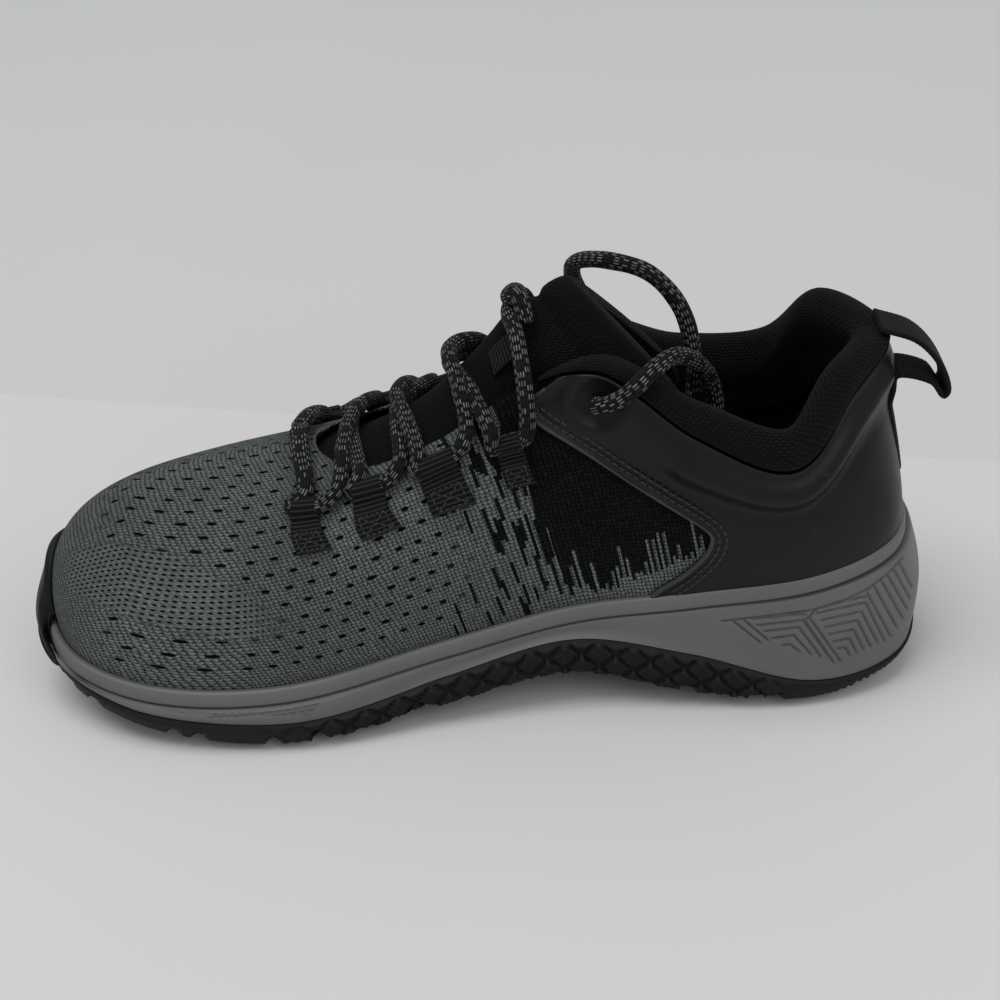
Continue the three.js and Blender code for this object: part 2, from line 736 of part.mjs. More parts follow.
function makeLoop() {
  const rest = 2 * overlayGap + overlayWall + 0.2 + loopWall / 2;
  const back = [0.2, 0.3, 0.4, 0.5, 0.6, 0.7, 0.78].map((v) => {
    const p = onUpper(0, v, rest);
    return new THREE.Vector2(p.x, p.z);
  });
  const top = edgePoint(0);
  const out = loopFold.map(
    ({ behind, up }) => new THREE.Vector2(top.x - behind * collarHeight, top.z + up * collarHeight),
  );
  const middle = new THREE.SplineCurve([...back, ...out]).getPoints(22);
  const offset = (side) =>
    middle.map((p, i) => {
      const d = middle[Math.min(22, i + 1)].clone().sub(middle[Math.max(0, i - 1)]).normalize();
      return new THREE.Vector2(p.x - (d.y * side * loopWall) / 2, p.y + (d.x * side * loopWall) / 2);
    });
  const outline = [...offset(1), ...offset(-1).reverse()].map((p) => [p.x, p.y]);
  const section = wasm.CrossSection.ofPolygons([outline], "NonZero");
  return section.extrude(loopWidth).translate([0, 0, -loopWidth / 2]).rotate([90, 0, 0]);
}

const group = new THREE.Group();
const looks = {
  knit: { color: 0x4a4f52, roughness: 0.9 },
  synthetic: { color: 0x1b1c1e, roughness: 0.5 },
  lining: { color: 0x131416, roughness: 0.95 },
  foam: { color: 0x6d6f70, roughness: 0.75 },
  rubber: { color: 0x161616, roughness: 0.8 },
  webbing: { color: 0x121212, roughness: 0.85 },
  lace: { color: 0x26282a, roughness: 0.85 },
};

function place(name, solid, look) {
  const mesh = solid.getMesh();
  const geometry = new THREE.BufferGeometry();
  geometry.setAttribute("position", new THREE.Float32BufferAttribute(mesh.vertProperties, 3));
  geometry.setIndex([...mesh.triVerts]);
  geometry.computeVertexNormals();
  const made = new THREE.Mesh(geometry, new THREE.MeshStandardMaterial({ ...looks[look], metalness: 0 }));
  made.name = name;
  group.add(made);
}

place("midsole", makeMidsole(), "foam");
place("outsole", makeOutsole(), "rubber");
place("upper", withEyelets(makeUpper()), "knit");
place("quarter_overlay", withEyelets(makeOverlay()), "synthetic");
place("collar_lining", withEyelets(makeLining()), "lining");
place("tongue", makeTongue(), "lining");
place("insole", makeInsole(), "lining");
place("pull_loop", makeLoop(), "webbing");
tabs.forEach((row, i) => {
  place("lace_tab_inner_" + (i + 1), makeTab(row, 1), "webbing");
  place("lace_tab_outer_" + (i + 1), makeTab(row, -1), "webbing");
});
place("lace_bar", makeBar(), "lace");
crossings.forEach((_, i) => place("lace_crossing_" + (i + 1), makeCrossing(i), "lace"));
place("lace_end_inner", makeEnd(innerEnd, 1, 13), "lace");
place("lace_end_outer", makeEnd(outerEnd, -1, 18), "lace");

export default group;
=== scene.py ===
"""Looks of a low work sneaker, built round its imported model. Metres outside, millimetres inside."""

import math

import bpy
import numpy as np
from mathutils import Matrix, Vector


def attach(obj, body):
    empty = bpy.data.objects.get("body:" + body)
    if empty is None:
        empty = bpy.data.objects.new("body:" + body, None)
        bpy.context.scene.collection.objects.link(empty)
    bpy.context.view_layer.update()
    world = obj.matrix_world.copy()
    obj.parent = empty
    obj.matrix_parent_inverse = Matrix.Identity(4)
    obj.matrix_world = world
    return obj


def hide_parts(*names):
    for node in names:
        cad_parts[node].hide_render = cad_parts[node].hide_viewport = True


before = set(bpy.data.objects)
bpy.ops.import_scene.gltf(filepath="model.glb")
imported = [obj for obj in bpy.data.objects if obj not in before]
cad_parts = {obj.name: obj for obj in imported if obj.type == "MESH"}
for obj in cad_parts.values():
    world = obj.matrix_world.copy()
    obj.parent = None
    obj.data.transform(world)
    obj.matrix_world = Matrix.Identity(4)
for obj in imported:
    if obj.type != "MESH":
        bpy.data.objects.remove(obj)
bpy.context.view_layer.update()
MM = 0.001

# Driving sizes of the shoe, in millimetres, as in the part.
LENGTH, BALL_WIDTH, HEEL_CENTRE = 280, 100, 38
RIM_HEIGHT, BED_HEIGHT, COLLAR_HEIGHT = 44, 29, 107
HEEL_FLARE, ARCH_HEIGHT = 9, 12
GAP, UPPER_WALL, OVERLAY_WALL, OVERLAY_GAP = 0.35, 2, 1.4, 0.6
RIM_WALL, GROOVE_DROP, GROOVE_DEPTH = 2.2, 5.2, 1.1
PLATE, OUTSOLE_WALL, TREAD_INSET = 5, 3, 9
COLLAR_SWELL, PADDING = 2.6, 7
RIBS = 18


def table(columns, rows):
    return dict(zip(columns.split(), np.array(rows, float).T))


FEATHER = table("along out rim bed", [
    [0.038, 0.0, 1.16, 1.03], [0.06, 0.44, 1.1, 1.03], [0.145, 0.66, 1.0, 1.0],
    [0.27, 0.63, 0.88, 0.93], [0.4, 0.58, 0.76, 0.79], [0.54, 0.71, 0.61, 0.61],
    [0.7, 0.93, 0.48, 0.5], [0.84, 0.88, 0.46, 0.55], [0.936, 0.6, 0.53, 0.7],
    [0.972, 0.1, 0.61, 0.82], [0.926, -0.46, 0.54, 0.7], [0.82, -0.81, 0.46, 0.55],
    [0.66, -1.0, 0.46, 0.5], [0.51, -0.93, 0.55, 0.61], [0.385, -0.82, 0.68, 0.79],
    [0.265, -0.72, 0.84, 0.93], [0.145, -0.68, 1.0, 1.0], [0.06, -0.45, 1.1, 1.03],
])
EDGE = table("along out top rise reach drop bulge", [
    [0.066, 0.0, 0.98, 0.36, 0.0, 0.3, -0.12], [0.112, 0.43, 0.91, 0.36, 0.0, 0.3, 0.1],
    [0.17, 0.68, 0.755, 0.36, 0.0, 0.35, 0.25], [0.265, 0.64, 0.855, 0.4, 0.0, 0.35, 0.2],
    [0.362, 0.46, 1.015, 0.4, 0.18, 0.3, 0.15], [0.455, 0.37, 0.93, 0.42, 0.3, 0.2, 0.2],
    [0.535, 0.38, 0.805, 0.46, 0.38, 0.2, 0.25], [0.608, 0.36, 0.73, 0.55, 0.42, 0.2, 0.25],
    [0.65, 0.22, 0.728, 0.7, 0.46, 0.17, 0.3], [0.666, 0.01, 0.733, 0.87, 0.48, 0.14, 0.3],
    [0.648, -0.22, 0.722, 0.7, 0.46, 0.19, 0.3], [0.604, -0.36, 0.725, 0.52, 0.42, 0.22, 0.25],
    [0.53, -0.38, 0.79, 0.45, 0.38, 0.23, 0.25], [0.45, -0.38, 0.9, 0.42, 0.3, 0.24, 0.2],
    [0.36, -0.46, 0.95, 0.4, 0.18, 0.3, 0.15], [0.265, -0.64, 0.785, 0.4, 0.0, 0.35, 0.2],
    [0.17, -0.68, 0.765, 0.36, 0.0, 0.35, 0.25], [0.112, -0.47, 0.955, 0.36, 0.0, 0.3, 0.1],
])
SIDE = table("base ground tread belly foot", [
    [0.3, 0.7, -0.1, 1.0, 0.75], [0.22, 0.45, -0.1, 0.85, 0.72], [0.2, 0.16, -0.06, 0.6, 0.66],
    [0.42, 0.4, 0.12, 0.42, 0.6], [0.54, 1.0, 0.8, 0.36, 0.62], [0.37, 0.55, 0.35, 0.4, 0.55],
    [0.17, 0.12, -0.05, 0.52, 0.46], [0.19, 0.4, 0.18, 0.52, 0.4], [0.31, 1.0, 0.8, 0.5, 0.36],
    [0.38, 1.35, 1.15, 0.52, 0.34], [0.31, 1.0, 0.8, 0.5, 0.36], [0.19, 0.4, 0.18, 0.52, 0.4],
    [0.17, 0.12, -0.05, 0.5, 0.45], [0.24, 0.26, 0.06, 0.42, 0.45], [0.36, 0.5, 0.3, 0.42, 0.5],
    [0.34, 0.3, 0.12, 0.48, 0.55], [0.2, 0.16, -0.06, 0.6, 0.66], [0.22, 0.45, -0.1, 0.85, 0.72],
])


# Small mathematics, on arrays.
def smooth(a, b, c, d, f):
    return b + 0.5 * f * (c - a + f * (2 * a - 5 * b + 4 * c - d + f * (3 * (b - c) + d - a)))


def around(column, place):
    place = np.asarray(place, float)
    i = np.floor(place).astype(int)
    a, b, c, d = (column[(i + k) % len(column)] for k in (-1, 0, 1, 2))
    return smooth(a, b, c, d, place - i)


def ramp(column, share):
    column, share = np.asarray(column, float), np.asarray(share, float)
    last = len(column) - 1
    i = np.clip(np.floor(share * last).astype(int), 0, last - 1)
    a, b, c, d = (column[np.clip(i + k, 0, last)] for k in (-1, 0, 1, 2))
    return smooth(a, b, c, d, share * last - i)


def lerp(a, b, f):
    return a + (b - a) * f


def ease(a, b, v):
    f = np.clip((np.asarray(v, float) - a) / (b - a), 0, 1)
    return f * f * (3 - 2 * f)


def unit(v):
    return v / np.maximum(np.linalg.norm(v, axis=-1, keepdims=True), 1e-9)


def vec(x, y, z):
    return np.stack(np.broadcast_arrays(x, y, z), -1).astype(float)


def bump_at(x, middle, width):
    return np.exp(-(((np.asarray(x, float) - middle) / width) ** 2))


# The camera stands where the photograph was taken: target and distance in millimetres, angles in radians.
CAMERA_TARGET = np.array([94.7186, -64.4174, 14.4518])
CAMERA_DISTANCE, CAMERA_TURN, CAMERA_HEIGHT, CAMERA_ROLL = 656.94, -0.0144, 0.5452, -0.0471
LENS, SENSOR = 67.77, 36
# Places in the picture are told in units of a thousandth of its side.
PICTURE = 1000
FOCAL = LENS / SENSOR * PICTURE


def camera_axes():
    """The camera's right, up and back directions."""
    level = math.cos(CAMERA_HEIGHT)
    back = vec(level * math.sin(CAMERA_TURN), level * math.cos(CAMERA_TURN), math.sin(CAMERA_HEIGHT))
    right = unit(np.cross(-back, [0, 0, 1]))
    up = np.cross(right, -back)
    c, s = math.cos(CAMERA_ROLL), math.sin(CAMERA_ROLL)
    return c * right + s * up, -s * right + c * up, back


CAMERA_RIGHT, CAMERA_UP, CAMERA_BACK = camera_axes()
CAMERA_PLACE = CAMERA_TARGET + CAMERA_DISTANCE * CAMERA_BACK


def in_picture(points):
    """Where points in millimetres appear in the picture."""
    ray = points - CAMERA_PLACE
    depth = -(ray @ CAMERA_BACK)
    across, down = FOCAL * (ray @ CAMERA_RIGHT) / depth, -FOCAL * (ray @ CAMERA_UP) / depth
    return PICTURE / 2 + across, PICTURE / 2 + down


def add_object(name, data):
    made = bpy.data.objects.new(name, data)
    bpy.context.scene.collection.objects.link(made)
    return made


def make_camera():
    data = bpy.data.cameras.new("camera")
    data.lens, data.sensor_width = LENS, SENSOR
    camera = add_object("camera", data)
    columns = np.stack([CAMERA_RIGHT, CAMERA_UP, CAMERA_BACK, CAMERA_PLACE * MM], 1)
    camera.matrix_world = Matrix([*columns.tolist(), [0, 0, 0, 1]])
    bpy.context.scene.camera = camera


make_camera()


# The upper's outer face, as in the part.
def feather_point(place):
    return vec(
        around(FEATHER["along"], place) * LENGTH - HEEL_CENTRE,
        around(FEATHER["out"], place) * BALL_WIDTH / 2,
        around(FEATHER["rim"], place) * RIM_HEIGHT,
    )


def outward(place):
    d = feather_point(np.asarray(place) + 0.02) - feather_point(np.asarray(place) - 0.02)
    return unit(vec(-d[..., 1], d[..., 0], 0 * d[..., 0]))


def edge_point(place):
    return vec(
        around(EDGE["along"], place) * LENGTH - HEEL_CENTRE,
        around(EDGE["out"], place) * BALL_WIDTH / 2,
        around(EDGE["top"], place) * COLLAR_HEIGHT,
    )


def wall_point(place, v):
    place, v = np.broadcast_arrays(np.asarray(place, float), np.asarray(v, float))
    low, high = feather_point(place), edge_point(place)
    height = high[..., 2] - low[..., 2]
    low_handle = low + outward(place) * (around(EDGE["bulge"], place) * HEEL_FLARE)[..., None]
    low_handle[..., 2] += around(EDGE["rise"], place) * height
    reach = around(EDGE["reach"], place)
    high_handle = vec(
        lerp(high[..., 0], low[..., 0], reach),
        lerp(high[..., 1], low[..., 1], reach),
        high[..., 2] - around(EDGE["drop"], place) * height,
    )
    t = np.clip(v, 0, None)[..., None]
    curve = (1 - t) ** 3 * low + 3 * t * (1 - t) ** 2 * low_handle
    curve = curve + 3 * t * t * (1 - t) * high_handle + t**3 * high
    bed = around(FEATHER["bed"], place) * BED_HEIGHT + GAP
    curve[..., 2] = np.where(v <= 0, lerp(low[..., 2], bed, -v), curve[..., 2])
    return curve


def wall_normal(place, v):
    step = 0.01
    start = np.clip(np.asarray(v, float) - step / 2, 0, 1 - step)
    up = wall_point(place, start + step) - wall_point(place, start)
    along = wall_point(np.asarray(place) + step, v) - wall_point(np.asarray(place) - step, v)
    return unit(np.cross(up, along))


def ribs_from_heel(place):
    wrapped = np.mod(place, RIBS)
    return np.minimum(wrapped, RIBS - wrapped)


def swell(place, v):
    fade = 1 - ease(3.2, 4.6, ribs_from_heel(place))
    return COLLAR_SWELL * fade * ease(0.6, 0.82, v) * (1 - 0.55 * ease(0.86, 1, v))


def on_upper(place, v, offset):
    place, v = np.broadcast_arrays(np.asarray(place, float), np.asarray(v, float))
    rise = (np.asarray(offset, float) + swell(place, v))[..., None]
    return wall_point(place, v) + wall_normal(place, v) * rise


# Hands: 1 is the inner side and -1 the outer.
HANDS = ((1, "inner"), (-1, "outer"))


def side_rib(rib, hand):
    return rib if hand > 0 else RIBS - rib


def spline(points, count, closed=False):
    """Centripetal Catmull-Rom through the points, count samples evenly spaced along it."""
    points = np.asarray(points, float)
    if closed:
        ring = np.vstack([points[-2:], points, points[:3]])
        first, last = 2, 2 + len(points)
    else:
        ring = np.vstack([2 * points[0] - points[1], points, 2 * points[-1] - points[-2]])
        first, last = 1, len(points)
    dense = []
    for i in range(first, last):
        p = ring[i - 1 : i + 3]
        t = np.concatenate([[0], np.cumsum(np.maximum(np.linalg.norm(np.diff(p, axis=0), axis=1), 1e-6) ** 0.5)])
        s = np.linspace(t[1], t[2], 24, endpoint=False)[:, None]
        a = [((t[k + 1] - s) * p[k] + (s - t[k]) * p[k + 1]) / (t[k + 1] - t[k]) for k in range(3)]
        b = [((t[k + 2] - s) * a[k] + (s - t[k]) * a[k + 1]) / (t[k + 2] - t[k]) for k in range(2)]
        dense.append(((t[2] - s) * b[0] + (s - t[1]) * b[1]) / (t[2] - t[1]))
    dense = np.vstack(dense + [ring[last][None]])
    walk = np.concatenate([[0], np.cumsum(np.linalg.norm(np.diff(dense, axis=0), axis=1))])
    spots = np.linspace(0, walk[-1], count + 1 if closed else count)
    out = np.stack([np.interp(spots, walk, dense[:, k]) for k in range(dense.shape[1])], 1)
    return out[:-1] if closed else out


def arc_length(points, axis):
    step = np.linalg.norm(np.diff(points, axis=axis), axis=-1)
    pad = [(0, 0)] * step.ndim
    pad[axis] = (1, 0)
    return np.cumsum(np.pad(step, pad), axis=axis)


# Meshes from grids of points.
def grid_quads(rows, columns, close_rows=False, close_columns=False):
    i = np.arange(rows if close_rows else rows - 1)[:, None]
    j = np.arange(columns if close_columns else columns - 1)[None, :]
    i2, j2 = (i + 1) % rows, (j + 1) % columns
    corners = (i * columns + j, i * columns + j2, i2 * columns + j2, i2 * columns + j)
    return np.stack(np.broadcast_arrays(*corners), -1).reshape(-1, 4)


def make(name, points, faces, material, attributes=None):
    """A piece from points in millimetres and an array of quads, turned to face out."""
    if not outward_faces(points, faces):
        faces = faces[:, ::-1]
    points = np.asarray(points, float).reshape(-1, 3) * MM
    mesh = bpy.data.meshes.new(name)
    mesh.vertices.add(len(points))
    mesh.vertices.foreach_set("co", points.astype(np.float32).ravel())
    size = faces.shape[1]
    mesh.loops.add(faces.size)
    mesh.loops.foreach_set("vertex_index", faces.ravel().astype(np.int32))
    mesh.polygons.add(len(faces))
    mesh.polygons.foreach_set("loop_start", np.arange(0, faces.size, size, dtype=np.int32))
    mesh.polygons.foreach_set("loop_total", np.full(len(faces), size, np.int32))
    mesh.update(calc_edges=True)
    mesh.validate()
    for key, values in (attributes or {}).items():
        flat = np.asarray(values, float).reshape(len(points), -1)
        kind = "FLOAT" if flat.shape[1] == 1 else "FLOAT_VECTOR"
        layer = mesh.attributes.new(key, kind, "POINT")
        layer.data.foreach_set("value" if kind == "FLOAT" else "vector", flat.astype(np.float32).ravel())
    mesh.polygons.foreach_set("use_smooth", np.ones(len(mesh.polygons), bool))
    mesh.materials.append(material)
    piece = add_object(name, mesh)
    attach(piece, "root")
    return piece


def outward_faces(points, faces):
    """True where the closed mesh's faces point out."""
    p = np.asarray(points, float).reshape(-1, 3)
    a, b, c, d = (p[faces[:, k]] for k in range(4))
    return np.einsum("ij,ij->i", a, np.cross(b, c) + np.cross(c, d)).sum() > 0


def make_loft(name, grid, material, attributes=None, close_rows=False):
    """Closed sections in rows: grid is rows by points by 3. A cap joins a section's points pairwise."""
    rows, size = grid.shape[:2]
    faces = [grid_quads(rows, size, close_rows, True)]
    if not close_rows:
        k = np.arange(size // 2 - 1)
        cap = np.stack([k, k + 1, size - 2 - k, size - 1 - k], 1)
        faces += [cap[:, ::-1], cap + (rows - 1) * size]
    return make(name, grid, np.vstack(faces), material, attributes)


STITCH_PROFILE = ((0, 0.35), (0.12, 0.85), (0.5, 1), (0.88, 0.85), (1, 0.35))
STITCH_CAPS = ((3, 2, 1, 0), (5, 4, 3, 0), (24, 25, 26, 27), (24, 27, 28, 29))


def make_stitches(name, items):
    """One piece of many small rounded bars: items are (start, end, up, width, height) rows."""
    points, faces = [], []
    ring = np.linspace(0, 2 * np.pi, 6, endpoint=False)
    bar = [*grid_quads(len(STITCH_PROFILE), len(ring), False, True), *STITCH_CAPS]
    for start, end, up, width, height in items:
        side = unit(np.cross(unit(end - start), up))
        faces += [tuple(len(points) + x for x in quad) for quad in bar]
        for share, size in STITCH_PROFILE:
            centre = start + (end - start) * share
            points += [centre + side * math.cos(a) * width * size + up * math.sin(a) * height * size for a in ring]
    make(name, points, np.array(faces), THREAD)


def weave_twice(along, across):
    """Weave coordinates for a face's columns and, in reverse, for the columns under it."""
    weave = vec(along, across, 0)
    return np.concatenate([weave, weave[:, ::-1]], 1)


def band_rings(path, side, lift, half, wall, girth):
    """A flat band's rings along a path, with half widths, half thicknesses and its weave coordinates."""
    angles = np.linspace(0, 2 * np.pi, 36, endpoint=False)
    box = np.stack([np.cos(angles), np.sin(angles)], 1)
    box = np.sign(box) * np.abs(box) ** 0.3
    side, lift = np.reshape(side, (-1, 1, 3)), np.reshape(lift, (-1, 1, 3))
    half, wall = np.reshape(half, (-1, 1, 1)), np.reshape(wall, (-1, 1, 1))
    grid = path[:, None] + box[None, :, :1] * half * side + box[None, :, 1:] * wall * lift
    return grid, vec(box[None, :, 0] * girth, arc_length(path, 0)[:, None], 0)


# Materials, all procedural.
class Tree:
    """A material's nodes: calls return sockets, and numbers stand for constants."""

    def __init__(self, name):
        self.material = bpy.data.materials.new(name)
        self.material.use_nodes = True
        self.nodes = self.material.node_tree.nodes
        self.links = self.material.node_tree.links
        self.shader = self.nodes["Principled BSDF"]

    def put(self, socket, value):
        if isinstance(value, bpy.types.NodeSocket):
            self.links.new(value, socket)
        elif isinstance(value, (tuple, list)) and len(value) == 3 and socket.type == "RGBA":
            socket.default_value = (*value, 1)
        else:
            socket.default_value = value

    def node(self, kind, inputs=(), **settings):
        made = self.nodes.new("ShaderNode" + kind)
        for key, value in settings.items():
            setattr(made, key, value)
        for key, value in dict(inputs).items():
            self.put(made.inputs[key], value)
        return made

    def math(self, operation, a, b=0.0, c=0.0):
        return self.node("Math", {0: a, 1: b, 2: c}, operation=operation).outputs[0]

    def add(self, a, b):
        return self.math("ADD", a, b)

    def sub(self, a, b):
        return self.math("SUBTRACT", a, b)

    def mul(self, a, b):
        return self.math("MULTIPLY", a, b)

    def attribute(self, name, output="Vector"):
        return self.node("Attribute", attribute_name=name).outputs[output]

    def split(self, vector):
        return self.node("SeparateXYZ", {0: vector}).outputs

    def join(self, x, y, z=0.0):
        return self.node("CombineXYZ", {0: x, 1: y, 2: z}).outputs[0]

    def noise(self, vector, scale, detail=2.0, rough=0.5, output=0):
        inputs = {"Vector": vector, "Scale": scale, "Detail": detail, "Roughness": rough}
        return self.node("TexNoise", inputs).outputs[output]

    def random(self, vector):
        return self.node("TexWhiteNoise", {"Vector": vector}, noise_dimensions="3D").outputs["Value"]

    def scale(self, value, low, high, start=0.0, end=1.0, kind="LINEAR"):
        inputs = {"Value": value, "From Min": low, "From Max": high, "To Min": start, "To Max": end}
        return self.node("MapRange", inputs, interpolation_type=kind).outputs[0]

    def step(self, value, low, high):
        return self.scale(value, low, high, kind="SMOOTHSTEP")

    def mix(self, share, a, b):
        made = self.node("Mix", data_type="RGBA")
        for index, value in ((0, share), (6, a), (7, b)):
            self.put(made.inputs[index], value)
        return made.outputs[2]

    def wave(self, value, scale=1.0):
        """0 to 1 and back, once for each unit of the scaled value."""
        return self.math("PINGPONG", self.mul(value, 2 * scale), 1.0)

    def cell(self, value, scale=1.0):
        return self.math("FLOOR", self.mul(value, scale))

    def most(self, a, b):
        return self.math("MAXIMUM", a, b)

    def within(self, value, scale=1.0):
        """-0.5 to 0.5 across each cell of the scaled value."""
        return self.sub(self.math("FRACT", self.mul(value, scale)), 0.5)

    def length(self, x, y):
        return self.math("SQRT", self.add(self.mul(x, x), self.mul(y, y)))

    def power(self, value, exponent):
        return self.math("POWER", value, exponent)

    def object_place(self):
        return self.node("TexCoord").outputs["Object"]

    def finish(self, colour, rough, bump=None, strength=0.5, distance=0.0003, **more):
        self.put(self.shader.inputs["Base Color"], colour)
        self.put(self.shader.inputs["Roughness"], rough)
        for key, value in more.items():
            self.put(self.shader.inputs[key.replace("_", " ")], value)
        if bump is not None:
            made = self.node("Bump", {"Height": bump, "Strength": strength, "Distance": distance})
            self.links.new(made.outputs[0], self.shader.inputs["Normal"])
        return self.material


# Tones, linear.
KNIT_GREY = (0.19, 0.204, 0.204)
# The dark knit tone serves both for the knit's darker random tone and for painted shade in the creases between
# stitches.
KNIT_DARK_AND_CREASE_SHADE = (0.02, 0.022, 0.0225)
KNIT_BLACK = (0.011, 0.0122, 0.0135)
# The darkest tone is painted shade: it fills the knit's openings and the creases between stitches, loops, cords and
# braid.
PAINTED_SHADE_BLACK = (0.0015, 0.0015, 0.0016)
LACE_BLACK, LACE_PALE = (0.009, 0.0096, 0.0098), (0.215, 0.226, 0.22)

# Steps of the knit's pattern, in millimetres: stitches, openings, fine openings, black columns.
STITCH_WIDTH, STITCH_HEIGHT = 1.4, 0.95
HOLE_STEP, HOLE_ROW, HOLE_LENGTH, HOLE_WIDTH = 7.0, 4.3, 1.5, 0.62
FINE_STEP, FINE_ROW = 1.7, 1.5
COLUMN_WIDTH, COLUMN_LENGTH = 1.05, 6.0


def knit_stitches(t, p, q):
    """Small slanted beads in columns: their height, column and row."""
    across = t.wave(p, 1 / STITCH_WIDTH)
    row = t.mul(t.add(q, t.mul(across, STITCH_HEIGHT * 0.5)), 1 / STITCH_HEIGHT)
    bead = t.mul(t.power(t.wave(row), 0.6), t.power(across, 0.5))
    return bead, t.cell(p, 1 / STITCH_WIDTH), t.cell(row)


def knit_openings(t, p, q, holes, fine):
    """Staggered openings, longer along the shoe, and a band of close fine ones."""
    row = t.cell(q, 1 / HOLE_ROW)
    shift = t.mul(t.math("FRACT", t.mul(row, 0.5)), HOLE_STEP)
    jitter = t.mul(t.random(t.join(row, t.cell(p, 1 / HOLE_STEP), 3.0)), 0.5)
    x = t.within(t.add(p, t.add(shift, jitter)), 1 / HOLE_STEP)
    y = t.within(q, 1 / HOLE_ROW)
    reach = t.length(t.mul(x, HOLE_STEP / HOLE_LENGTH), t.mul(y, HOLE_ROW / HOLE_WIDTH))
    wide = t.mul(t.step(reach, 0.98, 0.7), holes)
    x = t.within(t.add(t.mul(p, 1 / FINE_STEP), t.mul(t.cell(q, 1 / FINE_ROW), 0.5)))
    y = t.within(q, 1 / FINE_ROW)
    small = t.mul(t.step(t.length(t.mul(x, 1.703), t.mul(y, 2.236)), 0.62, 0.3), fine)
    return t.most(wide, small)


def knit_columns(t, p, q, dense, spikes):
    """Black columns that thicken towards the heel, above grey ones that stand up from the sole."""
    column = t.cell(p, 1 / COLUMN_WIDTH)
    offset = t.mul(t.random(t.join(column, 1.0, 7.0)), COLUMN_LENGTH)
    part = t.cell(t.add(q, offset), 1 / COLUMN_LENGTH)
    chance = t.random(t.join(column, part, 2.0))
    odd = t.random(t.join(t.cell(column, 1 / 3), part, 1.0))
    third = t.math("COMPARE", t.math("MODULO", t.add(column, t.cell(odd, 1.6)), 3.0), 0.0, 0.2)
    second = t.math("COMPARE", t.math("MODULO", column, 2.0), 0.0, 0.2)
    sparse = t.mul(t.math("LESS_THAN", chance, t.mul(dense, 0.8)), third)
    thick = t.mul(t.math("LESS_THAN", chance, t.mul(t.sub(dense, 0.62), 1.9)), second)
    border = t.add(0.94, t.mul(t.random(t.join(column, 3.0, 3.0)), 0.1))
    solid = t.math("GREATER_THAN", dense, border)
    share = t.power(t.random(t.join(column, 9.0, 4.0)), 1.1)
    above = t.math("GREATER_THAN", spikes, t.mul(share, t.add(5.0, t.mul(second, 14.0))))
    return t.mul(t.most(t.most(sparse, thick), solid), above)


def knit_material():
    t = Tree("knit")
    place = t.attribute("weave")
    p, q, _ = t.split(place)
    holes, fine, dense = t.split(t.attribute("zone"))
    # The stitches wander a little from their grid.
    wander = t.split(t.noise(place, 0.45, 1.0, 0.5, 1))
    stitch_p, stitch_q = (t.add(x, t.scale(w, 0.2, 0.8, -0.35, 0.35)) for x, w in zip((p, q), wander))
    bead, column, row = knit_stitches(t, stitch_p, stitch_q)
    opening = knit_openings(t, p, q, holes, fine)
    black = knit_columns(t, p, q, dense, t.attribute("spikes", "Fac"))
    tone = t.random(t.join(column, row, 0.0))
    # Painted shade: the creases between stitches darken, to the dark knit tone on the grey and near black on the
    # black columns.
    crease_shade_mask = t.step(bead, 0.06, 0.72)
    grey = t.mix(t.mul(tone, 0.3), KNIT_GREY, KNIT_DARK_AND_CREASE_SHADE)
    grey = t.mix(t.most(crease_shade_mask, t.mul(fine, 0.6)), KNIT_DARK_AND_CREASE_SHADE, grey)
    cloud = t.noise(t.object_place(), 22.0, 3.0)
    grey = t.mix(t.scale(cloud, 0.35, 0.7, 0.0, 0.3), grey, KNIT_DARK_AND_CREASE_SHADE)
    dark = t.mix(t.mul(crease_shade_mask, t.scale(tone, 0.0, 1.0, 0.4, 1.0)), PAINTED_SHADE_BLACK, KNIT_BLACK)
    # The openings are filled with painted shade.
    colour = t.mix(opening, t.mix(black, grey, dark), PAINTED_SHADE_BLACK)
    height = t.sub(t.sub(t.mul(bead, 0.5), t.mul(opening, 1.6)), t.mul(black, 0.25))
    sheen = {"Sheen_Weight": 0.02, "Sheen_Roughness": 0.4}
    return t.finish(colour, 0.85, height, 0.7, 0.0006, Specular_IOR_Level=0.05, **sheen)


def lining_material(name, width, height, light):
    """Coarse black spacer knit: slanted oval loops."""
    t = Tree(name)
    p, q, _ = t.split(t.attribute("weave"))
    row = t.cell(q, 1 / height)
    shifted = t.add(t.mul(p, 1 / width), t.mul(row, 0.5))
    bead = t.mul(t.power(t.wave(shifted), 0.6), t.power(t.wave(q, 1 / height), 0.6))
    tone = t.random(t.join(t.cell(shifted), row, 0.0))
    # Between the loops the colour falls to painted shade.
    light_part = t.mul(t.step(bead, 0.25, 0.85), t.scale(tone, 0.0, 1.0, 0.45, 1.0))
    colour = t.mix(light_part, PAINTED_SHADE_BLACK, light)
    relief = t.add(bead, t.mul(t.noise(t.object_place(), 900.0, 2.0), 0.25))
    sheen = {"Sheen_Weight": 0.025, "Sheen_Roughness": 0.5}
    return t.finish(colour, 0.88, relief, 0.7, 0.0006, Specular_IOR_Level=0.12, **sheen)


